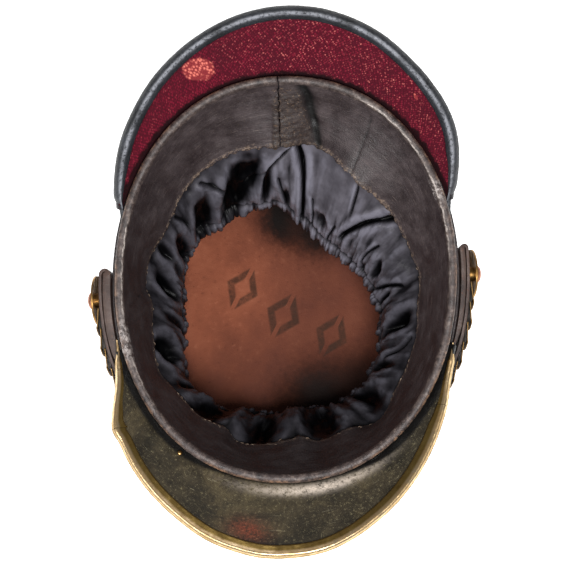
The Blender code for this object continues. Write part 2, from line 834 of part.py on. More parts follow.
def build_rosette(strap):
    """A dished disc on a hub, held off the strap so that the scales start under it."""
    frame = strap.frame(0.0, STRAP_THICK / 2 + CLEARANCE)
    radius = ROSETTE_DIAMETER / 2
    hub = ROSETTE_HUB / 2
    low = ROSETTE_LIFT
    high = low + ROSETTE_THICK
    profile = ((BORE_RADIUS, high + ROSETTE_DISH), (hub, high + ROSETTE_DISH), (radius * 0.75, high),
               (radius, high - ROSETTE_DISH / 3), (radius, low - ROSETTE_DISH / 3), (radius * 0.75, low),
               (hub, low + ROSETTE_DISH), (hub, 0.0), (BORE_RADIUS, 0.0))
    return turned("rosette_" + strap.side, profile, brass(), frame, closed=True)


def build_rosette_screw(strap):
    """A domed screw whose shank passes the disc, the strap and the base band to the wall."""
    frame = strap.frame(0.0, STRAP_THICK / 2 + CLEARANCE)
    seat = ROSETTE_LIFT + ROSETTE_THICK + ROSETTE_DISH + CLEARANCE
    head = SCREW_HEAD / 2
    shank = SHANK_DIAMETER / 2
    foot = shank_foot(strap)
    profile = ((0.0, seat + SCREW_DOME), (head * 0.45, seat + SCREW_DOME * 0.9),
               (head * 0.82, seat + SCREW_DOME * 0.55), (head, seat), (shank, seat), (shank, foot),
               (0.0, foot))
    return turned("rosette_screw_" + strap.side, profile, copper(), frame, closed=False)


def shank_foot(strap):
    """Height of the shank's end on the rosette's axis, just clear of the wall."""
    return 2 * CLEARANCE - (strap.lift(0.0) + STRAP_THICK / 2 + CLEARANCE)


def bore_cutter(strap):
    """The hole for the rosette's shank through the strap and the base band."""
    frame = strap.frame(0.0, 0.0)
    reach = strap.lift(0.0)
    profile = ((0.0, STRAP_THICK), (BORE_RADIUS, STRAP_THICK), (BORE_RADIUS, -reach), (0.0, -reach))
    body = turned("bore_" + strap.side, profile, None, frame, closed=False, group=CUTTERS)
    body.hide_render = True
    body.display_type = "WIRE"
    return body


def cut(body, cutter):
    hole = body.modifiers.new("hole", "BOOLEAN")
    hole.operation = "DIFFERENCE"
    hole.solver = "EXACT"
    hole.object = cutter


def build_keeper(strap):
    """The plain brass loop round the strap's two ends at the front centre."""
    frame = strap.frame(1.0)
    half = KEEPER_WIDTH / 2
    inner_up = STRAP_WIDTH_FRONT / 2 + CLEARANCE
    inner_out = STRAP_THICK / 2 + CLEARANCE
    outer_up = inner_up + KEEPER_THICK
    outer_out = inner_out + KEEPER_THICK
    corners = ((-half, outer_up, outer_out), (half, outer_up, outer_out), (half, inner_up, inner_out),
               (-half, inner_up, inner_out), (-half, outer_up, outer_out))
    rows = []
    for x, up, out in corners:
        rows.append([Vector((x, -up, -out)), Vector((x, up, -out)), Vector((x, up, out)),
                     Vector((x, -up, out))])
    mesh = sheet_mesh("strap_keeper", rows, closed=True)
    body = place_object("strap_keeper", mesh, brass(), frame)
    weld = body.modifiers.new("weld", "WELD")
    weld.merge_threshold = 0.00001
    return body


def build():
    clear_scene()
    straps = [Strap("right"), Strap("left")]
    bores = [bore_cutter(strap) for strap in straps]
    front = Peak(FRONT_OUTLINE, FRONT_REACH, FRONT_SLOPE, TRIM_CORNERS)
    rear = Peak(REAR_OUTLINE, REAR_REACH, REAR_SLOPE)
    build_body()
    build_crown_top()
    build_base_band(bores)
    build_sweatband()
    build_lining()
    build_peak("front_visor", front, green_leather())
    build_front_trim(front)
    build_front_pin(front)
    build_peak("rear_visor", rear, black_leather())
    build_rear_cloth(rear)
    build_rear_binding(rear)
    for strap, bore in zip(straps, bores):
        build_strap(strap, bore)
        build_scales(strap)
        build_rosette(strap)
        build_rosette_screw(strap)
    build_keeper(straps[0])


build()
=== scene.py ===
"""Looks of the leather-bound shako that lies upside down on its crown.

Metres, in the part's own frame. Angles are in degrees round the rim, 0 at +X, 90 at the neck
and 270 at the front. Sizes and outlines repeat those of the part.
"""
import random
from math import cos, degrees, exp, pi, radians, sin, tan

import bpy
import numpy as np
from mathutils import Matrix, Vector, noise


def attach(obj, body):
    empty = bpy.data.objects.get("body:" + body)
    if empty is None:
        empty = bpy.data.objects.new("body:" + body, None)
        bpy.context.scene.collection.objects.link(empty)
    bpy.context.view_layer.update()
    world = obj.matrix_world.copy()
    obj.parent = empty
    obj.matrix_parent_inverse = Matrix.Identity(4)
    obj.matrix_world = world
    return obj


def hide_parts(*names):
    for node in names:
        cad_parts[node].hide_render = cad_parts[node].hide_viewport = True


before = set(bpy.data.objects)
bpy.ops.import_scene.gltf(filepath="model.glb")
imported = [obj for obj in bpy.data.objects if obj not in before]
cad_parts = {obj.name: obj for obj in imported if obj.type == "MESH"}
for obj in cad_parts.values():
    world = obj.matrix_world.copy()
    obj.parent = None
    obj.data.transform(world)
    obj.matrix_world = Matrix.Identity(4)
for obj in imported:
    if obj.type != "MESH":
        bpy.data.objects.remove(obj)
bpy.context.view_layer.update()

# Sizes of the part
RIM_WIDTH = 0.1714
RIM_LENGTH = 0.2044
RIM_SQUARENESS = 2.13
RIM_SKEW = -3.6
RIM_TILT = 9.0
CROWN_WIDTH = 0.136
CROWN_LENGTH = 0.154
CROWN_FORWARD = 0.012
HAT_DEPTH = 0.112
CROWN_SKIRT = 0.014
CROWN_EDGE_RADIUS = 0.0016
CLEARANCE = 0.0003
WALL_THICK = 0.0018
CROWN_THICK = 0.0022
BAND_THICK = 0.0010
LINING_THICK = 0.0010
VISOR_THICK = 0.0018
CLOTH_THICK = 0.0010
BINDING_THICK = 0.0010
TRIM_THICK = 0.0008
BASE_THICK = 0.0013
STRAP_THICK = 0.0016
SCALE_THICK = 0.0006
KEEPER_THICK = 0.0007
BAND_WIDTH = 0.042
BAND_HEM = 0.012
BAND_SEAM_ANGLE = 90.3
BAND_SEAM_GAP = 0.0006
LINING_TUCK = 0.006
OPENING_DEPTH = 0.080
OPENING_RADIUS = 0.055
OPENING_FORWARD = 0.0155
LINING_PUFF = 0.006
FOLD_DEPTH = 0.007
BASE_TOP = 0.009
BASE_BOTTOM = 0.032
FRONT_REACH = 0.035
FRONT_SLOPE = 38.0
REAR_REACH = 0.0305
REAR_SLOPE = 40.0
FLANGE_TOP = 0.006
FLANGE_BOTTOM = 0.018
PEAK_SAG = 0.0010
TRIM_LEG = 0.0052
TRIM_CORNERS = (219.5, 319.5)
BINDING_LEG = 0.0042
CLOTH_START = 0.0022
PIN_ANGLE = 236.5
PIN_DIAMETER = 0.0026
PIN_OUT = 0.0034
ROSETTE_ANGLES = {"right": 1.6, "left": 182.7}
FRONT_ANGLE = 270.0
STRAP_WIDTH_ROSETTE = 0.024
STRAP_WIDTH_FRONT = 0.016
STRAP_DOWN_ROSETTE = 0.019
STRAP_DOWN_FRONT = 0.022
STRAP_PLY_GAPS = {"right": 0.0014, "left": 0.0030}
STRAP_TURN_BACK = 0.0110
STRAP_PLY_SLIT = 0.0005
STRAP_TAB = 0.050
STRAP_SKIVE = 0.022
STRAP_THIN = 0.0004
SCALE_PITCH = 0.010
SCALE_LENGTH = 0.0145
SCALE_START = 0.0042
SCALE_BULGE = 0.0007
SCALE_ROUNDING = 0.24
SCALE_TILT = 7.0
SCALE_MARGIN = 0.0004
ROSETTE_DIAMETER = 0.025
ROSETTE_THICK = 0.0009
ROSETTE_LIFT = 0.0032
ROSETTE_DISH = 0.0011
ROSETTE_HUB = 0.0072
ROSETTE_BORE = 0.0046
SCREW_HEAD = 0.0090
SCREW_DOME = 0.0027
SCREW_SHANK = 0.0040
KEEPER_WIDTH = 0.009

# Free edge of the sweatband: (angle, lean inwards as a share of its width)
BAND_LEAN = (
    (1, 0.39), (9, 0.46), (20, 0.55), (32, 0.64), (42, 0.75), (52, 0.85), (61, 0.84),
    (70, 0.76), (79, 0.69), (87, 0.76), (97, 0.77), (107, 0.69), (122, 0.61), (138, 0.53),
    (153, 0.50), (165, 0.37), (179, 0.31), (187, 0.39), (199, 0.34), (213, 0.295), (224, 0.375),
    (237, 0.42), (245, 0.47), (251, 0.38), (262, 0.44), (273, 0.54), (280, 0.435), (289, 0.455),
    (303, 0.29), (316, 0.355), (334, 0.375), (350, 0.40),
)

# Drawn opening of the lining: (angle about its own centre, radius share)
OPENING_OUTLINE = (
    (4, 0.88), (21, 0.835), (42, 0.77), (60, 0.78), (72, 0.83), (82, 0.93), (92, 1.09),
    (104, 1.10), (122, 1.09), (136, 1.135), (151, 1.11), (166, 1.02), (180, 0.995), (195, 1.02),
    (208, 1.11), (219, 1.17), (231, 1.09), (244, 0.99), (262, 0.91), (277, 0.885), (292, 0.94),
    (312, 0.965), (336, 0.95), (349, 0.91),
)

# Outer edges of the peaks: (angle, width as a share of the peak's reach)
FRONT_OUTLINE = (
    (201, 0.10), (206, 0.15), (211, 0.25), (216, 0.43), (219.5, 0.55), (223, 0.57), (229, 0.65),
    (236, 0.735), (244, 0.825), (251, 0.915), (258, 0.97), (264, 1.00), (270, 0.985), (276, 0.95),
    (282, 0.87), (288, 0.77), (294, 0.675), (301, 0.56), (307, 0.46), (313, 0.365), (317, 0.305),
    (320, 0.26), (325, 0.175), (331, 0.12), (337, 0.10),
)
REAR_OUTLINE = (
    (24, 0.11), (28, 0.22), (33, 0.385), (38, 0.53), (43.5, 0.635), (51, 0.72), (59, 0.80),
    (67, 0.895), (75, 0.96), (83, 1.00), (91, 0.985), (100, 0.92), (110, 0.81), (120, 0.69),
    (130, 0.55), (139, 0.42), (147, 0.275), (155, 0.12),
)
STRAP_LIFT = ((0.0, "doubled"), (0.12, "doubled"), (0.75, "flat"), (0.82, "flat"), (0.93, "keeper"),
              (1.0, "keeper"))

SIDE = np.array([1.0, 0.0, 0.0])
BACK = np.array([0.0, cos(radians(RIM_TILT)), sin(radians(RIM_TILT))])
OPEN = np.array([0.0, -sin(radians(RIM_TILT)), cos(radians(RIM_TILT))])
RIM_CENTRE = BACK * CROWN_FORWARD + OPEN * HAT_DEPTH
HEM_FACE = CLEARANCE + BAND_THICK
FLANGE_MIDDLE = HEM_FACE + CLEARANCE + VISOR_THICK / 2
FLANGE_FACE = HEM_FACE + CLEARANCE + VISOR_THICK
BASE_MIDDLE = FLANGE_FACE + CLEARANCE + BASE_THICK / 2
TAB_MIDDLE = BASE_MIDDLE + BASE_THICK / 2 + CLEARANCE + STRAP_THICK / 2

# Camera, at the photograph's angle
PIXEL_FRAME = 570
PIXELS_PER_METRE = 2000.0
CAMERA_DISTANCE = 1.1
CAMERA_LEAN = 4.0
CAMERA_ROLL = 2.0
CAMERA_AIM = (-0.0005, -0.0035)
SENSOR = 36.0


def linked(name, data):
    """A new object in the scene."""
    thing = bpy.data.objects.new(name, data)
    bpy.context.scene.collection.objects.link(thing)
    return thing


def make_camera():
    lean, roll = radians(CAMERA_LEAN), radians(CAMERA_ROLL)
    toward = OPEN * cos(lean) - BACK * sin(lean)
    upright = BACK * cos(lean) + OPEN * sin(lean)
    right = SIDE * cos(roll) - upright * sin(roll)
    up = SIDE * sin(roll) + upright * cos(roll)
    lens = bpy.data.cameras.new("camera")
    lens.sensor_width = SENSOR
    lens.lens = SENSOR * CAMERA_DISTANCE * PIXELS_PER_METRE / PIXEL_FRAME
    lens.clip_start = 0.05
    camera = linked("camera", lens)
    matrix = Matrix((right, up, toward)).transposed().to_4x4()
    matrix.translation = (RIM_CENTRE + SIDE * CAMERA_AIM[0] + BACK * CAMERA_AIM[1]
                          + toward * CAMERA_DISTANCE)
    camera.matrix_world = matrix
    bpy.context.scene.camera = camera


def eased(share):
    share = np.clip(share, 0.0, 1.0)
    return share * share * (3.0 - 2.0 * share)


def curve_value(rows, place, period=None):
    """Values on a smooth curve through (place, value) rows."""
    knots, values = (np.array(column, float) for column in zip(*rows))
    place = np.asarray(place, float)
    if period is not None:
        place = knots[0] + (place - knots[0]) % period
        knots = np.concatenate([[knots[-1] - period], knots, knots[:2] + period])
        values = np.concatenate([values[-1:], values, values[:2]])
    place = np.clip(place, knots[0], knots[-1])
    rises = np.diff(values) / np.diff(knots)
    slopes = np.concatenate([rises[:1], (values[2:] - values[:-2]) / (knots[2:] - knots[:-2]), rises[-1:]])
    slopes[1:-1][rises[:-1] * rises[1:] <= 0.0] = 0.0
    slot = np.clip(np.searchsorted(knots, place, side="right") - 1, 0, len(knots) - 2)
    span = knots[slot + 1] - knots[slot]
    t = (place - knots[slot]) / span
    return (values[slot] * (2 * t**3 - 3 * t**2 + 1) + slopes[slot] * span * (t**3 - 2 * t**2 + t)
            + values[slot + 1] * (3 * t**2 - 2 * t**3) + slopes[slot + 1] * span * (t**3 - t**2))


def turn(angle):
    return np.cos(np.radians(angle)), np.sin(np.radians(angle))


def tall(values):
    """Numbers as a column that multiplies vectors."""
    return np.asarray(values, float)[..., None]


def outline_radius(angle, width, length, skew=0.0):
    across, along = turn(np.asarray(angle, float) - skew)
    power = RIM_SQUARENESS
    return (np.abs(2 * across / width) ** power + np.abs(2 * along / length) ** power) ** (-1.0 / power)


def outward(angle):
    across, along = turn(angle)
    return SIDE * tall(across) + BACK * tall(along)


def rim_radius(angle):
    return outline_radius(angle, RIM_WIDTH, RIM_LENGTH, RIM_SKEW)


def rim_place(angle, out, height):
    return RIM_CENTRE + outward(angle) * tall(rim_radius(angle) + out) + OPEN * tall(height)


def unit(vectors):
    return vectors / np.linalg.norm(vectors, axis=-1, keepdims=True)


def dots(a, b):
    return (a * b).sum(axis=-1)


def wall_top(angle):
    return rim_place(angle, -HEM_FACE, -HEM_FACE)


def wall_foot(angle, out=0.0):
    across, along = turn(angle)
    inset = CLEARANCE + CROWN_THICK
    radius = outline_radius(angle, CROWN_WIDTH - 2 * inset, CROWN_LENGTH - 2 * inset) + out
    return np.stack([across * radius, along * radius, np.zeros_like(across)], axis=-1)


def wall_down(angle):
    return unit(wall_foot(angle) - wall_top(angle))


def wall_face(angle):
    down = wall_down(angle)
    away = outward(angle)
    return unit(away - down * tall(dots(away, down)))


def wall_place(angle, down, out=0.0):
    return wall_top(angle) + wall_down(angle) * tall(down) + wall_face(angle) * tall(out)


def wall_length(angle, height):
    top = wall_top(angle)
    length = np.linalg.norm(wall_foot(angle) - top, axis=-1)
    return length * (1.0 - height / top[..., 2])


def ring(count, start=BAND_SEAM_ANGLE, sweep=360.0, both_ends=False):
    return start + sweep * np.arange(count) / (count - 1 if both_ends else count)


def lattice(cell, salt):
    """A repeatable random number from -1 to 1 for each whole-numbered cell."""
    mixed = (cell * np.array([374761393, 668265263, 2147483647])).sum(axis=-1) + salt * 974634777
    mixed = (mixed ^ (mixed >> 13)) * 1274126177
    return ((mixed ^ (mixed >> 16)) & 65535) / 32767.5 - 1.0


def smooth_noise(points):
    cell = np.floor(points).astype(np.int64)
    inside = points - cell
    fade = inside**3 * (inside * (inside * 6.0 - 15.0) + 10.0)
    total = np.zeros(points.shape[:-1])
    for corner in np.ndindex(2, 2, 2):
        step = np.array(corner)
        weight = np.prod(np.where(step == 1, fade, 1.0 - fade), axis=-1)
        slopes = np.stack([lattice(cell + step, salt) for salt in (1, 2, 3)], axis=-1)
        total += weight * dots(slopes, inside - step)
    return total


def noisy(points, size, seed=0.0, stretch=(1.0, 1.0, 1.0), octaves=3):
    """Smooth noise from about -1 to 1 at each point of a grid, with features of one size."""
    scaled = points / (np.array(stretch) * size) + seed * np.array([7.3, 3.1, 5.7])
    return sum(1.5 * 0.55**k * smooth_noise(scaled * 2.1**k) for k in range(octaves))


def grid_normals(grid, closed):
    """Unit normals of a grid of places, rows first."""
    if closed:
        side = np.roll(grid, -1, axis=1) - np.roll(grid, 1, axis=1)
    else:
        side = np.gradient(grid, axis=1)
    way = np.gradient(grid, axis=0)
    return unit(np.cross(side, way) + 1e-12)


def pushed(grid, closed, push):
    """A grid moved along its normals."""
    return grid + grid_normals(grid, closed) * tall(push)


def stacked(shape, *parts):
    """One place for each point of a grid, from its coordinates."""
    return np.stack([np.broadcast_to(part, shape) for part in parts], axis=-1)


def quads(rows, columns, closed, first=0):
    """Faces between the points of a grid, rows first."""
    r, c = np.meshgrid(np.arange(rows - 1), np.arange(columns if closed else columns - 1), indexing="ij")
    corner, beside = r * columns + c, r * columns + (c + 1) % columns
    faces = np.stack([corner, beside, beside + columns, corner + columns], axis=-1)
    return (faces.reshape(-1, 4) + first).tolist()


def mesh_piece(name, points, faces, sharp=None):
    """A smooth piece, its edges kept sharp past an angle in degrees."""
    mesh = bpy.data.meshes.new(name)
    mesh.from_pydata(points, [], faces)
    mesh.validate()
    mesh.shade_smooth()
    if sharp is not None:
        mesh.set_sharp_from_angle(angle=radians(sharp))
    return linked(name, mesh)


def mark_points(piece, key, numbers, kind="FLOAT", field="value"):
    layer = piece.data.attributes.new(key, kind, "POINT")
    layer.data.foreach_set(field, np.asarray(numbers, np.float32).ravel())


def grid_object(name, grid, closed, thickness=0.0, values=None, flat=None):
    """A smooth sheet through a grid of places, with named values at its points."""
    shape = grid.shape[:2]
    piece = mesh_piece(name, grid.reshape(-1, 3).tolist(), quads(*shape, closed))
    for key, numbers in (values or {}).items():
        mark_points(piece, key, np.broadcast_to(numbers, shape))
    if flat is not None:
        mark_points(piece, "flat", stacked(shape, *flat, 0.0), "FLOAT_VECTOR", "vector")
    if thickness:
        solid = piece.modifiers.new("thickness", "SOLIDIFY")
        solid.thickness = thickness
        solid.offset = 0.0
    return piece


def finish_piece(piece, material, replaced=()):
    piece.data.materials.append(material)
    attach(piece, "root")
    if replaced:
        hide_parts(*replaced)
    return piece


# Colours and materials
def linear(channel):
    share = channel / 255.0
    return share / 12.92 if share <= 0.04045 else ((share + 0.055) / 1.055) ** 2.4


def colour(red, green, blue):
    return (linear(red), linear(green), linear(blue), 1.0)


class Shader:
    """One material with a Principled shader and small steps that add nodes; base is its colour so far.

    A tuple is a colour of three 8-bit channels, a list is a vector.
    """

    def __init__(self, name, rough=0.5, metallic=0.0, **constants):
        self.material = bpy.data.materials.new(name)
        self.material.use_nodes = True
        self.tree = self.material.node_tree
        self.main = self.tree.nodes["Principled BSDF"]
        for key, value in {"Roughness": rough, "Metallic": metallic, **constants}.items():
            self.put(self.main.inputs[key.replace("_", " ")], value)
        self.here = self.add("TexCoord", "Object")

    def put(self, socket, value):
        if isinstance(value, bpy.types.NodeSocket):
            self.tree.links.new(value, socket)
        elif value is not None:
            socket.default_value = colour(*value) if isinstance(value, tuple) else value

    def add(self, kind, output, sockets=(), **settings):
        """An output of a new node."""
        node = self.tree.nodes.new("ShaderNode" + kind)
        for key, value in settings.items():
            setattr(node, key, value)
        for key, value in dict(sockets).items():
            self.put(node.inputs[key], value)
        return node.outputs[output]

    def attribute(self, name, kind="Fac"):
        return self.add("Attribute", kind, attribute_name=name)

    def mapped(self, vector, x, y, turned=0.0, z=1.0):
        """A vector scaled, and turned about Z by degrees."""
        sockets = {"Vector": vector, "Scale": [x, y, z], "Rotation": [0.0, 0.0, radians(turned)]}
        return self.add("Mapping", "Vector", sockets)

    def shifted(self, x, y):
        return self.add("VectorMath", 0, {0: self.here, 1: [x, y, 0.0]}, operation="SUBTRACT")

    def reach(self, x, y):
        """Distance across the floor plane from one place."""
        across = self.mapped(self.shifted(x, y), 1.0, 1.0, z=0.0)
        return self.add("VectorMath", "Value", {0: across}, operation="LENGTH")

    def noise(self, scale, detail=4.0, vector=None, rough=0.55, distortion=0.0):
        sockets = {"Vector": vector or self.here, "Scale": scale, "Detail": detail, "Roughness": rough,
                   "Distortion": distortion}
        return self.add("TexNoise", "Fac", sockets)

    def cells(self, scale, vector=None, randomness=1.0):
        sockets = {"Vector": vector or self.here, "Scale": scale, "Randomness": randomness}
        return self.add("TexVoronoi", "Distance", sockets)

    def wave(self, vector, distortion=0.0):
        sockets = {"Vector": vector, "Scale": 1.0, "Distortion": distortion, "Detail": 2.0}
        return self.add("TexWave", "Fac", sockets)

    def math(self, operation, *values):
        return self.add("Math", "Value", enumerate(values), operation=operation)

    def times(self, first, second):
        return self.math("MULTIPLY", first, second)

    def span(self, value, low, high, end=1.0, start=0.0):
        """A value mapped from low..high to start..end, eased and held at the ends."""
        sockets = {"Value": value, "From Min": low, "From Max": high, "To Min": start, "To Max": end}
        return self.add("MapRange", "Result", sockets, interpolation_type="SMOOTHSTEP")

    def mix(self, share, first, second):
        return self.add("Mix", 2, {0: share, 6: first, 7: second}, data_type="RGBA")

    def lay(self, tint, share, *span):
        """A tint over the base, by a share or by a value's span."""
        self.base = self.mix(self.span(share, *span) if span else share, self.base, tint)

    def wear_and_highlight_mark(self, tint, key, value, low, high, share=1.0):
        """A tint where a piece's named value and a noise both stand high: wear, and for crest and strip a
        painted highlight.
        """
        self.lay(tint, self.times(self.attribute(key), self.span(value, low, high, share)))

    def ramp(self, value, *stops):
        shade = self.add("ValToRGB", "Color", {"Fac": value})
        ramp = shade.node.color_ramp
        while len(ramp.elements) < len(stops):
            ramp.elements.new(0.5)
        for element, (place, tint) in zip(ramp.elements, stops):
            element.position = place
            element.color = colour(*tint)
        return shade

    def bump(self, *layers):
        """Bumps from (height, distance in metres) layers, one on the other."""
        last = None
        for height, distance in layers:
            sockets = {"Strength": 1.0, "Distance": distance, "Height": height, "Normal": last}
            last = self.add("Bump", "Normal", sockets)
        self.put(self.main.inputs["Normal"], last)

    def done(self, value=None, start=0.0, end=1.0, high=0.7):
        """The material, its roughness mapped from a value."""
        self.put(self.main.inputs["Base Color"], self.base)
        if value is not None:
            self.put(self.main.inputs["Roughness"], self.span(value, 0.3, high, end, start))
        return self.material


def leather_grain(s, scale):
    """Fine pebbled grain for the bumps of a leather."""
    cells = s.cells(scale)
    return s.times(cells, cells)


def sweatband_material():
    s = Shader("sweatband_leather", Specular_IOR_Level=0.5)
    along = s.attribute("flat", "Vector")
    arcs = s.noise(1.0, 6.0, s.mapped(along, 46.0, 1250.0), 0.72, 0.6)
    mottle = s.noise(95.0, 6.0, rough=0.68)
    fine = s.noise(1100.0, 4.0, rough=0.7)
    s.base = s.ramp(mottle, (0.30, (36, 28, 29)), (0.50, (54, 45, 46)), (0.72, (74, 64, 65)))
    s.lay((102, 90, 88), fine, 0.56, 0.72, 0.40)
    s.lay((26, 19, 20), fine, 0.44, 0.28, 0.55)
    scuff = s.times(s.span(arcs, 0.56, 0.70), s.span(mottle, 0.38, 0.62))
    s.lay((120, 104, 97), s.times(scuff, 0.40))
    hairs = s.noise(1.0, 3.0, s.mapped(along, 70.0, 2600.0, 1.5), 0.6, 0.3)
    s.lay((150, 134, 126), hairs, 0.64, 0.72, 0.45)
    s.lay((30, 22, 23), s.times(s.span(arcs, 0.44, 0.30), 0.5))
    worn = s.noise(300.0, 6.0, rough=0.78)
    rim_tint = s.ramp(worn, (0.36, (32, 25, 24)), (0.52, (72, 61, 58)), (0.66, (116, 102, 95)))
    s.lay(rim_tint, s.times(s.attribute("rim"), 0.9))
    s.wear_and_highlight_mark((148, 110, 80), "outer", worn, 0.40, 0.60, 0.8)
    # Painted highlight on the rim's fold
    s.wear_and_highlight_mark((214, 202, 194), "crest", s.noise(420.0, 6.0, rough=0.75), 0.36, 0.54)
    s.wear_and_highlight_mark((186, 176, 172), "flake", s.noise(420.0, 5.0, rough=0.8), 0.46, 0.58, 0.8)
    s.wear_and_highlight_mark((142, 122, 106), "edge", s.noise(560.0, 6.0, rough=0.85), 0.46, 0.60, 0.85)
    torn = s.noise(620.0, 6.0, rough=0.85)
    patch_tint = s.ramp(torn, (0.38, (26, 19, 18)), (0.56, (54, 43, 38)), (0.70, (128, 102, 76)))
    s.lay(patch_tint, s.times(s.attribute("patch"), 0.70))
    # Painted shade at the front and on the left
    s.lay((14, 9, 9), s.attribute("shade"))
    # Painted shade in the groove, the crease and the slot hole
    s.lay((6, 4, 4), s.attribute("dark"))
    s.bump((arcs, 0.00014), (fine, 0.00012), (leather_grain(s, 1500.0), 0.00010))
    return s.done(mottle, 0.44, 0.62)


def satin_material():
    s = Shader("satin", Specular_IOR_Level=0.10)
    along = s.attribute("flat", "Vector")
    weft = s.wave(s.mapped(along, 900.0, 900.0, 32.0))
    dust = s.noise(160.0, 5.0)
    fine = s.noise(2600.0, 2.0)
    s.base = s.ramp(dust, (0.30, (72, 69, 75)), (0.55, (86, 83, 90)), (0.78, (100, 97, 105)))
    # Painted shade in the lining's hollows, tucks, creases and dim side
    s.lay((2, 2, 3), s.attribute("dark"))
    s.bump((weft, 0.000012), (fine, 0.00003))
    # Painted highlights on the lining's ridges
    s.lay((128, 126, 138), s.times(s.attribute("crest"), s.span(dust, 0.30, 0.50, 0.80, 0.35)))
    return s.done(dust, 0.30, 0.44, 0.75)


def red_cloth_material():
    s = Shader("red_cloth", Specular_IOR_Level=0.15, Sheen_Weight=0.15, Sheen_Roughness=0.6,
               Sheen_Tint=(200, 60, 70))
    along = s.attribute("flat", "Vector")
    turned = s.mapped(along, 1.0, 1.0, 36.0)
    threads = s.cells(1.0, s.mapped(turned, 760.0, 1040.0), 0.55)
    rows = s.wave(s.mapped(turned, 190.0, 8.0), 1.6)
    mottle = s.noise(60.0, 4.0)
    patchy = s.noise(240.0, 5.0, rough=0.75)
    s.base = s.ramp(mottle, (0.30, (92, 11, 32)), (0.55, (113, 19, 41)), (0.75, (128, 28, 48)))
    s.lay((56, 6, 20), threads, 0.22, 0.60, 0.80)
    s.lay((50, 6, 18), rows, 0.55, 0.15, 0.30)
    slant = s.mapped(along, 1.0, 1.0, -35.0)
    streaks = s.noise(1.0, 4.0, s.mapped(slant, 330.0, 1500.0), 0.7)
    dots = s.times(s.span(threads, 0.50, 0.20), s.span(streaks, 0.50, 0.64))
    open_dots = s.math("ADD", s.times(s.attribute("wear"), 0.34), patchy)
    dots = s.times(dots, s.span(open_dots, 0.46, 0.74))
    s.lay((204, 116, 108), s.times(dots, 0.90))
    weave = s.span(s.cells(1.0, s.mapped(turned, 860.0, 640.0), 0.7), 0.20, 0.62)
    s.lay(s.mix(weave, (216, 116, 102), (126, 43, 47)), s.attribute("spot"))
    # Painted shadow at the cloth's inner edge
    s.lay((8, 2, 4), s.attribute("gap"))
    s.bump((s.span(threads, 0.0, 0.6, 0.0, 1.0), 0.00022), (s.noise(2400.0, 2.0), 0.00008))
    return s.done(mottle, 0.80, 0.94)


def binding_material():
    s = Shader("binding_leather", Specular_IOR_Level=0.3)
    crackle = s.noise(700.0, 6.0, rough=0.78)
    mottle = s.noise(90.0, 4.0)
    s.base = s.ramp(mottle, (0.30, (14, 16, 19)), (0.6, (27, 30, 35)), (0.8, (40, 45, 52)))
    # The binding's top paler along its round: worn leather and a painted highlight
    top = s.times(s.attribute("crest"), s.span(crackle, 0.36, 0.54))
    s.lay((160, 162, 170), s.times(top, s.span(mottle, 0.34, 0.56, 0.9, 0.25)))
    s.lay((14, 15, 19), crackle, 0.36, 0.26)
    s.bump((crackle, 0.00018), (leather_grain(s, 2200.0), 0.00010))
    return s.done(crackle, 0.30, 0.52)


def front_visor_material():
    s = Shader("green_leather", Specular_IOR_Level=0.42)
    along = s.attribute("flat", "Vector")
    mottle = s.noise(60.0, 6.0, rough=0.66)
    speck = s.noise(700.0, 6.0, rough=0.85)
    scratch_a = s.noise(1.0, 3.0, s.mapped(along, 60.0, 1100.0, 24.0), 0.5, 1.5)
    scratch_b = s.noise(1.0, 3.0, s.mapped(along, 1100.0, 70.0, 38.0), 0.5, 1.5)
    weave = s.noise(1.0, 4.0, s.mapped(along, 520.0, 150.0), 0.7)
    s.base = s.ramp(mottle, (0.28, (24, 21, 15)), (0.52, (52, 45, 32)), (0.76, (82, 72, 51)))
    patches = s.noise(24.0, 5.0, rough=0.6, distortion=0.8)
    s.lay((22, 21, 15), patches, 0.46, 0.60, 0.45)
    s.lay((96, 84, 58), patches, 0.44, 0.34, 0.35)
    s.lay((132, 122, 92), speck, 0.54, 0.66, 0.75)
    s.lay((20, 17, 13), speck, 0.44, 0.32, 0.8)
    s.lay((26, 22, 17), weave, 0.52, 0.36, 0.35)
    lines = s.math("MAXIMUM", s.span(scratch_a, 0.67, 0.74), s.span(scratch_b, 0.69, 0.76))
    s.lay((166, 156, 124), s.times(lines, 0.42))
    s.wear_and_highlight_mark((134, 62, 42), "stain", speck, 0.36, 0.60, 0.75)
    # Painted highlight along the peak's root
    s.wear_and_highlight_mark((230, 214, 198), "strip", s.noise(400.0, 6.0, rough=0.8), 0.32, 0.56, 0.95)
    # Painted shadow in the corner under the rim
    s.lay((5, 4, 4), s.attribute("dark"))
    s.bump((speck, 0.00014), (lines, -0.00006), (leather_grain(s, 1900.0), 0.00010))
    return s.done(mottle, 0.40, 0.58)


def brass_material(name, bright, dull, dark, rough):
    s = Shader(name, 0.3, 1.0)
    patina = s.noise(180.0, 6.0, rough=0.7)
    fine = s.noise(1500.0, 4.0, rough=0.7)
    s.base = s.ramp(patina, (0.30, dark), (0.425, dull), (0.72, bright))
    s.lay(dark, fine, 0.62, 0.74, 0.5)
    s.bump((fine, 0.00004), (patina, 0.00008))
    return s.done(patina, rough + 0.18, rough)


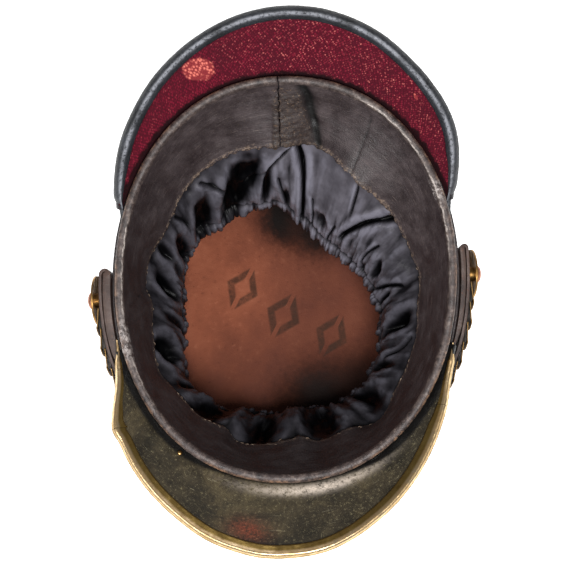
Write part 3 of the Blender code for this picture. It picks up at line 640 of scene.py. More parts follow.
def crown_material():
    s = Shader("crown_leather", Specular_IOR_Level=0.15)
    mottle = s.noise(42.0, 5.0, rough=0.6)
    fibre = s.noise(330.0, 6.0, rough=0.7)
    s.base = s.ramp(mottle, (0.28, (112, 60, 42)), (0.52, (136, 76, 54)), (0.78, (154, 92, 68)))
    s.lay((170, 108, 82), fibre, 0.55, 0.72, 0.35)
    s.lay((88, 44, 30), fibre, 0.42, 0.28, 0.5)
    # Painted shade: the crown's inside darker away from its lit side
    s.lay((60, 30, 24), s.reach(*BRIGHT_SIDE[:2]), *BRIGHT_SIDE[2:], 0.66)
    s.lay((72, 36, 26), s.cells(210.0), 0.10, 0.05, 0.5)
    # Painted shadows: a brown fringe round a near-black core
    for x, y, near, far, share in PAINTED_CROWN_SHADOWS:
        reach = s.math("ADD", s.reach(x, y), s.span(fibre, 0.25, 0.75, 0.002, -0.002))
        s.lay((58, 25, 12), reach, near, far * 1.35, 0.0, share * 0.8)
        s.lay((8, 4, 3), reach, near, far, 0.0, share)
    faded = s.span(s.noise(240.0, 5.0, rough=0.75), 0.30, 0.62, 0.80, 0.45)
    s.lay((44, 32, 24), s.times(ink_mask(s), faded))
    s.bump((fibre, 0.00014), (leather_grain(s, 1300.0), 0.00008))
    return s.done(mottle, 0.62, 0.80)


# Painted shadows on the crown's inside: (x, y, full within, none past, share)
PAINTED_CROWN_SHADOWS = ((0.004, 0.055, 0.009, 0.022, 0.97), (0.019, 0.044, 0.003, 0.018, 0.90),
         (0.034, -0.048, 0.008, 0.036, 0.85), (0.014, -0.046, 0.004, 0.026, 0.85))
# Lit side of the crown's inside, painted shade past it: (x, y, lit within, shaded past)
BRIGHT_SIDE = (-0.050, 0.018, 0.018, 0.066)
# Plain stencilled lozenges on the crown's inside: (x, y, half width, half height)
INK_MARKS = ((-0.0240, 0.0150, 0.0098, 0.0150), (-0.0020, -0.0010, 0.0104, 0.0155),
             (0.0240, -0.0130, 0.0098, 0.0150))
INK_TURN = -28.0
INK_BRIDGE = 0.0010


def ink_mask(s):
    """1 on the stencilled marks: hollow lozenges cut by bare bridges."""
    total = 0.0
    for x, y, wide, high in INK_MARKS:
        split = s.add("SeparateXYZ", "X", {0: s.mapped(s.shifted(x, y), 1.0, 1.0, -INK_TURN, 0.0)}).node
        along, across = (s.math("ABSOLUTE", split.outputs[axis]) for axis in "XY")
        reach = s.math("ADD", s.math("DIVIDE", along, wide), s.math("DIVIDE", across, high))
        body = s.times(s.span(reach, 1.03, 0.86), s.span(reach, 0.42, 0.58))
        bridge = s.span(along, INK_BRIDGE, INK_BRIDGE + 0.0004)
        total = s.math("MAXIMUM", s.times(body, bridge), total)
    return total


def plain_leather_material(name, dark, middle, light, scuff, rough=0.5):
    s = Shader(name, rough, Specular_IOR_Level=0.45)
    mottle = s.noise(60.0, 5.0, rough=0.6)
    crack = s.noise(420.0, 6.0, rough=0.75)
    s.base = s.ramp(mottle, (0.28, dark), (0.52, middle), (0.76, light))
    s.lay(scuff, crack, 0.58, 0.70, 0.55)
    s.lay(dark, crack, 0.38, 0.28, 0.7)
    s.bump((crack, 0.00016), (leather_grain(s, 1700.0), 0.00010))
    return s.done(mottle, rough + 0.1, rough - 0.08)


def felt_material():
    s = Shader("felt", 0.95, Specular_IOR_Level=0.15, Sheen_Weight=0.5, Sheen_Roughness=0.6,
               Sheen_Tint=(120, 118, 126))
    fuzz = s.noise(2200.0, 5.0, rough=0.8)
    clump = s.noise(240.0, 4.0, rough=0.6)
    s.base = s.ramp(clump, (0.30, (24, 23, 26)), (0.55, (34, 32, 36)), (0.80, (50, 47, 52)))
    s.lay((82, 78, 84), fuzz, 0.60, 0.78, 0.4)
    s.bump((fuzz, 0.00030), (clump, 0.00025))
    return s.done(clump, 0.88, 0.98)


def thread_material():
    s = Shader("worn_thread", 0.8, Specular_IOR_Level=0.2)
    tone = s.noise(420.0, 3.0)
    s.base = s.ramp(tone, (0.30, (70, 56, 48)), (0.55, (116, 98, 84)), (0.78, (166, 146, 128)))
    s.bump((s.noise(3600.0, 2.0), 0.00006))
    return s.done()


def floor_material():
    s = Shader("floor", 0.9, Specular_IOR_Level=0.1, Emission_Color=(255, 255, 255),
               Emission_Strength=FLOOR_GLOW)
    s.base = s.mix(s.noise(3.0, 2.0), (247, 247, 247), (250, 250, 250))
    return s.done()


# The sweatband, folded over the rim
BAND_COLUMNS = 560
BAND_ROWS = 62
TUCK_LINE = ((0.0, 85.5), (0.15, 84.6), (0.3, 83.2), (0.52, 82.0), (0.7, 80.2), (0.97, 76.6), (1.0, 76.0))
PATCH_LEFT = ((0.0, 90.6), (0.2, 90.6), (0.4, 92.4), (0.7, 92.6), (1.0, 93.5))
CREASE_LINE = ((0.18, 60.5), (0.45, 59.4), (0.6, 59.0), (0.85, 57.9), (1.0, 56.8))
SLOT_HOLE = (183.2, 0.65)
# Arms that turn degrees into metres: for the band's marks and for its grain
BAND_ARM = 0.098
GRAIN_ARM = 0.09
FLAKES = ((199.0, 6.5), (28.0, 3.0))


def band_edge(angle):
    lean = BAND_WIDTH * curve_value(BAND_LEAN, angle, period=360.0)
    return lean, np.sqrt(BAND_WIDTH**2 - lean**2)


def band_inner(angle, share):
    """Places on the middle of the sweatband's inner leaf, one row to each share."""
    fold_out = -WALL_THICK - CLEARANCE - BAND_THICK / 2
    start = wall_place(angle, 0.0, fold_out)
    lean, depth = band_edge(angle)
    end = rim_place(angle, -lean, -depth)
    hold = wall_place(angle, 0.3 * BAND_WIDTH, fold_out - 0.05 * BAND_WIDTH)
    t = np.atleast_1d(share)[:, None, None]
    return start * (1 - t) ** 2 + hold * 2 * t * (1 - t) + end * t**2


def away_from(angle, centre):
    return np.abs((angle - centre + 180.0) % 360.0 - 180.0)


def bell(distance, width):
    return np.exp(-(np.asarray(distance) / width) ** 2)


def build_sweatband():
    gap = degrees(BAND_SEAM_GAP / float(rim_radius(BAND_SEAM_ANGLE))) / 2
    angle = ring(BAND_COLUMNS, BAND_SEAM_ANGLE + gap, 360.0 - 2 * gap, both_ends=True)
    middle = CLEARANCE + BAND_THICK / 2
    radius = WALL_THICK / 2 + middle
    rows = [wall_place(angle, down, middle) for down in np.linspace(BAND_HEM, 0.001, 9)]
    for swing in np.linspace(0.0, 180.0, 13)[:-1]:
        across, along = turn(swing)
        rows.append(wall_place(angle, -radius * along, radius * across - WALL_THICK / 2))
    lead = len(rows)
    shares = np.linspace(0.0, 1.0, BAND_ROWS)
    grid = np.concatenate([np.array(rows), band_inner(angle, shares)])
    share = np.concatenate([np.full(lead, -1.0), shares])[:, None]
    fold = np.concatenate([np.linspace(-0.35, -0.02, 9), np.linspace(0.0, 1.0, 13)[:-1],
                           1.0 + shares * 12.0])[:, None]
    a = (angle % 360.0)[None, :]
    inside = eased(share / 0.06)
    lines = (TUCK_LINE, PATCH_LEFT, CREASE_LINE)
    tuck, left, crease = (curve_value(line, np.clip(share, 0, 1)) for line in lines)
    metre = radians(1.0) * BAND_ARM
    past_tuck = (a - tuck) * metre
    patch = eased(past_tuck / 0.0012 + 0.5) * eased((left - a) * metre / 0.0012 + 0.5)
    patch = patch * inside * (0.25 + 0.75 * eased((share - 0.05) / 0.3))
    groove = bell(past_tuck + 0.0034, 0.0032) * eased(share / 0.12) * eased((1.04 - share) / 0.1)
    crease_line = bell((a - crease) * metre, 0.0007) * eased((share - 0.12) / 0.15)
    slot_angle, slot_share = SLOT_HOLE
    slot = bell(away_from(a, slot_angle) * metre, 0.0009) * bell((share - slot_share) * BAND_WIDTH, 0.0016)
    flat = stacked(grid.shape[:2], np.radians(a) * GRAIN_ARM, share * BAND_WIDTH, 0.0)
    wrinkle = noisy(flat, 0.006, 1.0, (3.2, 0.5, 1.0))
    lumps = noisy(flat, 0.020, 2.0, (1.0, 0.8, 1.0), 2)
    torn = noisy(grid, 0.0024, 3.0)
    fray = noisy(grid, 0.0032, 4.0)
    push = inside * (0.00012 * wrinkle + 0.0006 * lumps * eased(share / 0.8))
    push = push + patch * (0.0011 + 0.00045 * torn)
    push = push - groove * (0.0019 - 0.0013 * eased((share - 0.68) / 0.12))
    push = push - crease_line * 0.0007 - slot * 0.0009 + 0.00016 * fray * ((fold > -0.4) & (fold < 1.4))
    grid = pushed(grid, False, push)
    wander = unit(grid[:, 1] - grid[:, 0]) * tall(0.0007 * noisy(grid[:, 0], 0.004, 5.0, octaves=2))
    for column in (0, 1, -2, -1):
        grid[:, column] = grid[:, column] + wander
    grid[-1] = grid[-1] + (grid[-1] - grid[-2]) * tall(1.6 * fray[-1])
    # Painted highlight along the rim's fold, only on the sides that face the light
    lit = eased((away_from(a, 111.0) - 42.0) / 8.0) * eased((away_from(a, 288.0) - 62.0) / 22.0)
    crest = bell(fold - 0.80 - 0.05 * fray, 0.048) * lit * eased(0.9 + 1.2 * noisy(flat, 0.030, 6.0))
    crest = np.maximum(crest, 0.5 * bell(fold - 1.12, 0.05) * lit * eased(noisy(flat, 0.014, 7.0)))
    flake = sum(bell(away_from(a, centre), width) for centre, width in FLAKES)
    # Painted shade: the band's inner leaf darker at the front and on the left
    front_shade, left_shade = 0.62 * bell(away_from(a, 265.0), 52.0), 0.52 * bell(away_from(a, 190.0), 45.0)
    values = {
        "rim": np.clip(eased((1.25 - np.abs(fold - 0.4)) / 0.5), 0, 1),
        "outer": bell(fold - 0.18, 0.16) * eased(0.75 + noisy(flat, 0.012, 8.0)),
        "crest": crest,
        "flake": flake * eased((1.5 - np.abs(fold - 0.9)) / 0.6),
        "edge": eased((share - 0.945 + 0.022 * fray) / 0.03),
        "patch": patch,
        # Painted shade in the groove beside the tucked patch, along the crease and in the slot hole
        "dark": np.clip(groove * 1.45 + crease_line * 0.75 + slot * 1.1, 0, 1),
        "shade": inside * np.maximum(front_shade, left_shade),
    }
    piece = grid_object("sweatband_leather", grid, False, BAND_THICK * 0.9, values,
                        (flat[..., 0], flat[..., 1]))
    finish_piece(piece, sweatband_material(), ["sweatband"])
    return grid, lead


def add_thread(points, faces, start, end, up, rise, radius):
    """A short thread as a five-sided arch, laid a little above its two ends."""
    start, end = start + up * rise, end + up * rise
    side = unit(np.cross(end - start, up))
    base = len(points)
    steps, sides = 4, 5
    for i in range(steps + 1):
        swell = sin(pi * i / steps)
        centre = start + (end - start) * (i / steps) + up * (radius * 1.3 * swell)
        thick = radius * (0.45 + 0.55 * swell)
        for k in range(sides):
            swing = 2 * pi * k / sides
            points.append(tuple(centre + side * (thick * cos(swing)) + up * (thick * sin(swing))))
    faces += quads(steps + 1, sides, True, base)
    faces.append([base + k for k in reversed(range(sides))])
    faces.append([base + steps * sides + k for k in range(sides)])


def build_stitches(grid, lead):
    """Worn stitches along the sweatband's free edge and in the torn seam."""
    draw = random.Random(5)
    points, faces = [], []
    away = grid_normals(grid, False)
    columns = grid.shape[1]
    for c in range(2, columns - 2, 3):
        if draw.random() < 0.58:
            continue
        row = grid.shape[0] - draw.choice((1, 2, 2, 3))
        start, up = grid[row, c], away[row, c]
        end = grid[row, min(c + 2, columns - 1)] + (grid[row - 1, c] - start) * draw.uniform(-1.5, 1.5)
        add_thread(points, faces, start, end, up, 0.00045, draw.uniform(0.00010, 0.00024))
    for _ in range(70):
        share = draw.uniform(0.12, 1.0)
        at = draw.uniform(float(curve_value(TUCK_LINE, share)) + 0.6, 92.5)
        c = int((at - BAND_SEAM_ANGLE) % 360.0 / 360.0 * columns) % columns
        r = lead + int(share * (grid.shape[0] - lead - 3))
        start, up = grid[r, c], away[r, c]
        way = grid[r, (c + 2) % columns] - start
        drop = grid[min(r + 2, grid.shape[0] - 1), c] - start
        end = start + way * draw.uniform(-1.0, 1.0) + drop * draw.uniform(-1.0, 1.0)
        if np.linalg.norm(end - start) > 0.0004:
            add_thread(points, faces, start, end, up, 0.0005, draw.uniform(0.00008, 0.00016))
    finish_piece(mesh_piece("sweatband_stitches", points, faces), thread_material())


# Hollows of the gathered lining: (angle, share, half width in degrees, half share, depth, lean in degrees)
HOLLOWS = (
    (111, 0.54, 12.5, 0.56, 1.60, 17), (132, 0.62, 8.5, 0.42, 1.35, 6), (150, 0.60, 6.5, 0.36, 1.20, -3),
    (160, 0.25, 3.0, 0.20, 0.60, 0),
    (172, 0.42, 6.5, 0.32, 1.25, 2), (188, 0.55, 3.5, 0.34, 0.60, 0), (203, 0.35, 7.0, 0.32, 1.20, 3),
    (219, 0.50, 4.0, 0.35, 0.60, 0), (235, 0.42, 9.0, 0.42, 1.20, 4), (258, 0.40, 10.0, 0.44, 1.20, 0),
    (284, 0.42, 10.0, 0.44, 1.20, 0), (308, 0.45, 6.5, 0.40, 1.00, 0), (324, 0.55, 4.5, 0.30, 0.70, 0),
    (345, 0.40, 6.5, 0.34, 1.20, -10), (19, 0.60, 3.4, 0.20, 0.75, 0), (98, 0.55, 4.0, 0.36, 1.05, 6),
    (88, 0.70, 2.6, 0.22, 0.55, 0), (67, 0.68, 7.0, 0.13, 0.55, 10), (3, 0.70, 2.6, 0.22, 0.70, 0),
    (28, 0.80, 3.0, 0.16, 0.50, 0),
)
# Tight tucks: rows of (share, angle), then depth and half width in metres
TUCKS = (
    (((0.00, 28.0), (0.14, 32.5), (0.28, 38.0), (0.48, 44.5), (0.72, 51.0)), 0.0052, 0.0022),
    (((0.02, 83.0), (0.20, 80.6), (0.45, 79.2), (0.92, 79.0)), 0.0056, 0.0012),
    (((0.02, 84.0), (0.20, 93.0), (0.40, 101.0), (0.55, 108.0)), 0.0038, 0.0011),
    (((0.02, 51.0), (0.16, 49.5), (0.36, 48.0)), 0.0026, 0.0010),
    (((0.30, 2.0), (0.55, 7.0), (0.82, 12.0)), 0.0032, 0.0012),
    (((0.35, 26.0), (0.55, 29.0), (0.78, 30.0)), 0.0026, 0.0010),
    (((0.10, 128.0), (0.28, 122.0), (0.44, 118.0)), 0.0032, 0.0011),
    (((0.08, 146.0), (0.26, 143.0), (0.42, 142.0)), 0.0022, 0.0010),
    (((0.10, 336.0), (0.30, 331.0), (0.60, 328.0)), 0.0026, 0.0011),
    (((0.40, 92.0), (0.60, 90.0), (0.86, 88.0)), 0.0030, 0.0009),
    (((0.50, 74.0), (0.70, 72.5), (0.90, 72.0)), 0.0022, 0.0009),
    (((0.55, 55.0), (0.72, 58.0), (0.92, 60.0)), 0.0024, 0.0009),
)
LINING_COLUMNS = 720
LINING_ROWS = 56
# Radius and length that turn the lining's angles and shares into metres of cloth
LINING_ARM = 0.060
LINING_RUN = 0.055
PUCKERS = 118
SMOOTH_PANEL = (62.0, 15.0, 0.28, 0.34)


def behind_band(angle, share):
    step = 0.01
    on_band = band_inner(angle, share)[0]
    way = unit(on_band - band_inner(angle, share - step)[0])
    side = band_inner(angle + 1.0, share)[0] - band_inner(angle - 1.0, share)[0]
    return on_band + unit(np.cross(way, side)) * (BAND_THICK / 2 + 2 * CLEARANCE + LINING_THICK / 2)


def blurred(values, columns, rows):
    """Values averaged over a window of a closed grid."""
    wide = sum(np.roll(values, k, axis=1) for k in range(-columns, columns + 1)) / (2 * columns + 1)
    held = np.pad(wide, ((rows, rows), (0, 0)), mode="edge")
    return sum(held[k:k + len(values)] for k in range(2 * rows + 1)) / (2 * rows + 1)


def build_lining():
    angle = ring(LINING_COLUMNS)
    start = behind_band(angle, 1.0)
    tuck_share = 1.0 - LINING_TUCK / BAND_WIDTH
    hidden = [behind_band(angle, share) for share in np.linspace(tuck_share, 1.0, 5)[:-1]]
    across, along = turn(angle)
    a = (angle % 360.0)[None, :]
    circle = stacked(angle.shape, across * OPENING_RADIUS, along * OPENING_RADIUS, 0.0)
    phase = np.radians(angle) * PUCKERS + 5.5 * noisy(circle, 0.007, 9.0, octaves=2)
    lobe = np.abs(np.cos(phase / 2)) ** 0.6 * (0.70 + 0.9 * noisy(circle, 0.005, 10.0, octaves=1))
    radius = OPENING_RADIUS * curve_value(OPENING_OUTLINE, angle, period=360.0) - 0.0005 * (lobe - 0.6)
    end = (RIM_CENTRE + SIDE * tall(radius * across) + BACK * tall(radius * along - OPENING_FORWARD)
           - OPEN * OPENING_DEPTH)
    share = np.linspace(0.0, 1.0, LINING_ROWS)[:, None]
    grid = start[None] * tall(1 - share) + end[None] * tall(share)
    swell = unit(OPEN - outward(angle))[None]
    looped = stacked(grid.shape[:2], across * LINING_ARM, along * LINING_ARM, share * LINING_ARM / 2)
    warp = noisy(looped, 0.010, 15.0, octaves=2)
    deep, lips, tucks, ridges = np.zeros((4,) + grid.shape[:2])
    for centre, at, half, tall_half, depth, lean in HOLLOWS:
        middle = centre + lean * (share - at)
        reach = np.hypot(away_from(a, middle) / half, (share - at) / tall_half) + 0.16 * warp
        deep = np.maximum(deep, depth * eased((1.0 - reach) / 0.9))
        lips += 0.5 * depth * bell(reach - 1.12, 0.20)
    for rows, depth, width in TUCKS:
        at = curve_value(rows, share)
        run = eased((share - rows[0][0]) / 0.04 + 0.3) * eased((rows[-1][0] - share) / 0.10 + 0.1)
        off = ((a - at + 180.0) % 360.0 - 180.0) * 0.0012
        tucks += depth * run * bell(off, width)
        ridges += depth * run * bell(off - 2.2 * width, 1.5 * width)
    centre, half, at, half_share = SMOOTH_PANEL
    calm = 1.0 - 0.85 * bell(away_from(a, centre), half) * bell(share - at, half_share)
    soft = noisy(looped, 0.016, 11.0, octaves=2)
    drape = noisy(looped, 0.0062, 12.0, (1.0, 1.0, 2.8), 2)
    crinkle = noisy(looped, 0.0030, 13.0, (1.0, 1.0, 1.8), 3)
    held = eased(share / 0.12)
    near = eased((share - 0.45) / 0.5)
    puff = LINING_PUFF * 1.1 * np.sin(np.pi * np.clip(share, 0, 1)) ** 1.3
    push = puff + held * calm * (0.0022 * soft + 0.0019 * drape * (0.5 + 0.7 * share))
    push = push + held * calm * 0.0009 * crinkle * (0.3 + share)
    casing = eased((share - 0.84) / 0.05)
    gather = 0.0008 * (lobe - 0.6) + 0.0009 * np.cos(phase * 0.31) * np.cos(phase * 0.083 + 1.0)
    push = push + near * gather[None, :] + casing * 0.0010 * (lobe - 0.5)[None, :]
    push = push - 0.0013 * bell(share - 0.855, 0.022) + 0.0009 * bell(share - 0.93, 0.045)
    push = push - FOLD_DEPTH * 0.95 * deep + 0.0011 * lips * held - tucks + 0.30 * ridges
    grid = grid + swell * tall(push)
    cavity = (blurred(push, 9, 3) - push) / 0.00075
    turned = ((0.0006, 0.0010), (0.0010, 0.0032))
    hem = [grid[-1] - OPEN * down + outward(angle) * out for down, out in turned]
    grid = np.concatenate([np.array(hidden), grid, np.array(hem)])
    # Painted shade: near black in the hollows and tucks, dimmer away from the lit side, at the front and by
    # the hem, darker where the surface lies below its surroundings
    dark = np.clip(1.25 * deep + 300.0 * tucks, 0, 1) * 0.98
    front = bell(away_from(a, 262.0), 48.0)
    lit = bell(away_from(a, 62.0), 46.0)
    dim = np.clip(0.76 * (1.0 - lit) + 0.20 * front, 0, 0.92) * (1.0 - 0.25 * lips.clip(0, 1))
    dim = np.maximum(dim, (0.25 + 0.65 * (1.0 - lit)) * eased((share - 0.80) / 0.14))
    dark = dark + (1.0 - dark) * dim
    dark = dark + (1.0 - dark) * 0.80 * np.clip(cavity, 0, 1)
    # Painted highlights on the ridges, strongest on the lit side
    shine = (0.22 + 0.50 * lit) * (1.0 - 0.6 * front)
    crest = np.clip(-cavity - 0.25, 0, 1) * shine * (1.0 - deep.clip(0, 1))
    dark, crest, flat_along, flat_across = (
        np.concatenate([np.zeros((len(hidden), LINING_COLUMNS)), part, part[-1:], part[-1:]])
        for part in np.broadcast_arrays(dark, crest, np.radians(a) * LINING_ARM, share * LINING_RUN))
    piece = grid_object("lining_satin", grid, True, LINING_THICK * 0.6, {"dark": dark, "crest": crest},
                        (flat_along, flat_across))
    return finish_piece(piece, satin_material(), ["lining"])


class Peak:
    """One peak: a flange on the wall and a plate that slopes out of the opening's plane."""

    def __init__(self, outline, reach, slope):
        self.outline = outline
        self.reach = reach
        self.slope = tan(radians(slope))

    def bend(self, angle):
        return wall_place(angle, FLANGE_TOP, FLANGE_MIDDLE)

    def plate_width(self, angle):
        bend_radius = dots(self.bend(angle) - RIM_CENTRE, outward(angle))
        return rim_radius(angle) + self.reach * curve_value(self.outline, angle) - bend_radius

    def middle(self, angle, width):
        sag = PEAK_SAG * np.sin(np.pi * np.minimum(width / self.reach, 1.0))
        return self.bend(angle) + outward(angle) * tall(width) + OPEN * tall(self.slope * width - sag)

    def face(self, angle, width):
        step = CLOTH_START / 2
        slant = self.middle(angle, width) - self.middle(angle, width - step)
        tangent = self.middle(angle + 1.0, width) - self.middle(angle - 1.0, width)
        return unit(np.cross(slant, tangent))

    def place(self, angle, width, lift):
        return self.middle(angle, width) + self.face(angle, width) * tall(lift)

    def edge(self, angle, leg):
        width = self.plate_width(angle)
        before = self.middle(angle - 1.0, self.plate_width(angle - 1.0))
        after = self.middle(angle + 1.0, self.plate_width(angle + 1.0))
        tangent = unit(after - before)
        slant = self.middle(angle, width) - self.middle(angle, width - np.minimum(leg, width))
        up = unit(np.cross(slant, tangent))
        return self.middle(angle, width), unit(np.cross(tangent, up)), up


def build_plate(name, peak, first, last, material, node, marks):
    """A peak's leather, its flange turned down behind the base band."""
    angle = np.linspace(first, last, 300)
    width = peak.plate_width(angle)
    shares = np.linspace(0.0, 1.0, 44)
    downs = np.linspace(FLANGE_BOTTOM, FLANGE_TOP, 7)[:-1]
    grid = np.array([wall_place(angle, down, FLANGE_MIDDLE) for down in downs]
                    + [peak.middle(angle, width * share) for share in shares])
    share = np.concatenate([np.zeros(6), shares])[:, None]
    out = width[None, :] * share
    lumps = noisy(grid, 0.016, 21.0, octaves=2)
    dents = noisy(grid, 0.005, 22.0, octaves=2)
    inner = eased(share / 0.25) * eased((0.86 - share) / 0.2)
    grid = pushed(grid, False, inner * (0.00022 * lumps + 0.00008 * dents))
    values = {key: function(angle[None, :], out) for key, function in marks.items()}
    piece = grid_object(name, grid, False, VISOR_THICK, values, (np.radians(angle) * PLATE_ARM, out))
    return finish_piece(piece, material, [node])


def section_sweep(name, stations, section, crest):
    """A closed rounded section carried along (origin, out, up, leg scale) stations."""
    origin, out, up, leg = stations
    x, y = np.array(section).T
    x = np.where(x < 0.0, x * tall(leg), x)
    grid = origin[:, None] + out[:, None] * tall(x) + up[:, None] * tall(y)
    rows, sides = x.shape
    faces = quads(rows, sides, True)
    faces += [list(reversed(range(sides))), list(range((rows - 1) * sides, rows * sides))]
    piece = mesh_piece(name, grid.reshape(-1, 3).tolist(), faces, 50)
    mark_points(piece, "crest", np.tile(crest, rows))
    return piece


def rounded_channel(top, bottom, thick, leg, beads=9):
    """A channel's section: straight legs and a round nose, as (out, up) points from the top leg's tip."""
    outer_top, outer_bottom = top + thick, bottom + thick
    half = (outer_top + outer_bottom) / 2
    centre = (outer_top - outer_bottom) / 2
    nose = CLEARANCE + thick
    points = [(-leg, outer_top - 0.0002), (-leg + 0.0003, outer_top)]
    points += [(-leg * (1 - k / 5), outer_top) for k in range(1, 5)]
    for k in range(beads + 1):
        swing = pi * k / beads
        points.append((nose * sin(swing) ** 0.8, centre + half * cos(swing)))
    points += [(-leg * 0.5, -outer_bottom), (-leg, -outer_bottom), (-leg, -bottom), (CLEARANCE, -bottom),
               (CLEARANCE, top), (-leg, top)]
    return points


def build_channel(name, peak, angles, section, leg, material, node, crest, wobble, tips, inward=0.0022):
    """A channel on a peak's edge; tips are degrees over which its ends run inward to a point."""
    origin, out, up = peak.edge(angles, leg)
    taper = np.ones_like(angles)
    for reach, passed in zip(tips, (angles - angles[0], angles[-1] - angles)):
        if reach:
            taper = np.minimum(taper, 0.25 + 0.75 * eased(passed / reach))
    origin = origin - out * tall(inward * (1.0 - taper))
    out, up = out * tall(taper), up * tall(taper)
    room = (peak.plate_width(angles) - VISOR_THICK) * dots(out, outward(angles)) ** 2
    scale = np.minimum(1.0, np.maximum(room, CLEARANCE) / leg)
    origin = origin + up * tall(wobble * noisy(origin, 0.011, 31.0, octaves=2))
    piece = section_sweep(name, (origin, out, up, scale), section, crest)
    bump_piece(piece, 0.00010, 0.0016)
    return finish_piece(piece, material, [node])


def bump_piece(piece, amount, size):
    """Small real bumps over a piece's surface."""
    mesh = piece.data
    for vertex in mesh.vertices:
        vertex.co = vertex.co + vertex.normal * (amount * noise.noise(vertex.co / size))


def shadow_line(angle, out):
    """Painted shadow in the corner between the front peak and the rim, thin at the front centre."""
    reach = 0.0009 + 0.0032 * eased((np.abs(angle - 268.0) - 12.0) / 22.0)
    return 0.97 * eased((reach - out) / 0.0016 + 0.5)


def build_front_peak():
    peak = Peak(FRONT_OUTLINE, FRONT_REACH, FRONT_SLOPE)
    marks = {
        "stain": lambda a, out: bell((a - 259.5) * 0.0021, 0.0085) * bell(out - 0.0245, 0.0048),
        # Painted highlight: a glossy reflection along the peak's root at the front
        "strip": lambda a, out: bell((a - 276.0) / 16.0, 1.0) * bell(out - 0.0043, 0.0022),
        "dark": shadow_line,
    }
    first, last = FRONT_OUTLINE[0][0], FRONT_OUTLINE[-1][0]
    build_plate("front_peak_leather", peak, first, last, front_visor_material(),
                "front_visor", marks)
    half = VISOR_THICK / 2 + CLEARANCE
    gap = degrees(CLEARANCE / FRONT_REACH) / 8
    left, right = TRIM_CORNERS
    spans = (("brass_edging", "front_visor_trim", left + gap, right - gap, 260, 1.0, (0, 0)),
             ("brass_edging_left", "front_visor_trim_left", first - 3.5, left - gap, 80, 1.25, (8, 0)),
             ("brass_edging_right", "front_visor_trim_right", right + gap, last + 0.5, 80, 1.15, (0, 6)))
    brass = edging_material()
    for name, node, start, end, count, wider, tips in spans:
        leg = TRIM_LEG * wider
        section = rounded_channel(half, half, TRIM_THICK, leg)
        # Marks the top of the nose for the brass's painted highlight
        crest = [1.0 if x > -0.0018 and y > 0 else 0.0 for x, y in section]
        build_channel(name, peak, np.linspace(start, end, count), section, leg, brass, node,
                      crest, 0.00008, tips)
    build_pin(peak)


def edging_material():
    s = Shader("edging_brass", 0.3, 1.0)
    patina = s.noise(150.0, 6.0, rough=0.7)
    fine = s.noise(1300.0, 4.0, rough=0.7)
    # Painted light: a lit copy of the brass on the top of the nose (crest), a shaded copy elsewhere
    bright = s.ramp(patina, (0.28, (186, 152, 104)), (0.50, (220, 190, 144)), (0.72, (238, 214, 176)))
    dull = s.ramp(patina, (0.28, (112, 90, 48)), (0.52, (150, 124, 70)), (0.74, (184, 154, 92)))
    s.base = s.mix(s.attribute("crest"), dull, bright)
    s.lay((74, 56, 30), fine, 0.60, 0.72, 0.6)
    s.bump((fine, 0.00005), (patina, 0.00010))
    return s.done(patina, 0.46, 0.26)


def frame_matrix(origin, along, up):
    z = Vector(up).normalized()
    x = Vector(along)
    x = (x - z * x.dot(z)).normalized()
    matrix = Matrix((x, z.cross(x), z)).transposed().to_4x4()
    matrix.translation = Vector(origin)
    return matrix


def turned_piece(name, profile, matrix, steps=72, shape=None):
    """A piece turned about local Z from (radius, height) points, with an optional height pattern."""
    points, faces, rings = [], [], []
    for radius, height in profile:
        ring_points = []
        for k in range(1 if radius == 0.0 else steps):
            swing = 2 * pi * k / steps
            rise = shape(radius, swing) if shape else 0.0
            points.append(tuple(matrix @ Vector((radius * cos(swing), radius * sin(swing), height + rise))))
            ring_points.append(len(points) - 1)
        rings.append(ring_points)
    closed = profile[0][0] != 0.0
    pairs = list(zip(rings, rings[1:])) + ([(rings[-1], rings[0])] if closed else [])
    for upper, lower in pairs:
        for k in range(steps):
            n = (k + 1) % steps
            if len(upper) == 1:
                faces.append((upper[0], lower[k], lower[n]))
            elif len(lower) == 1:
                faces.append((upper[k], lower[0], upper[n]))
            else:
                faces.append((upper[k], lower[k], lower[n], upper[n]))
    return mesh_piece(name, points, faces, 42)


def build_pin(peak):
    angle = np.array([PIN_ANGLE])
    width = np.array([PIN_OUT])
    up = peak.face(angle, width)[0]
    seat = peak.place(angle, width, VISOR_THICK / 2 + CLEARANCE)[0]
    along = outward(PIN_ANGLE + 90.0)
    radius = PIN_DIAMETER / 2
    profile = [(0.0, radius * 0.8)]
    for k in range(1, 7):
        swing = pi / 2 * k / 6
        profile.append((radius * sin(swing), radius * (0.2 + 0.6 * cos(swing))))
    profile += [(radius, 0.0), (0.0, 0.0)]
    piece = turned_piece("front_peak_pin", profile, frame_matrix(seat, along, up), 32)
    pin = brass_material("pin_brass", (222, 186, 128), (176, 136, 80), (96, 70, 40), 0.26)
    finish_piece(piece, pin, ["front_visor_pin"])


# Arms that turn degrees into metres along the cloth and along a peak's leather
CLOTH_ARM = 0.113
PLATE_ARM = 0.115
# Worn spots of the red cloth: (angle, distance out, half length, half width, turn in degrees)
CLOTH_SPOTS = ((110.6, 0.0148, 0.0082, 0.0052, 24.0), (52.4, 0.0152, 0.0016, 0.0007, 20.0))
# Larger worn areas: (angle, distance out, half length, half width)
CLOTH_WEAR = ((46.0, 0.0125, 0.010, 0.0065), (84.0, 0.018, 0.040, 0.014), (62.0, 0.014, 0.024, 0.012))


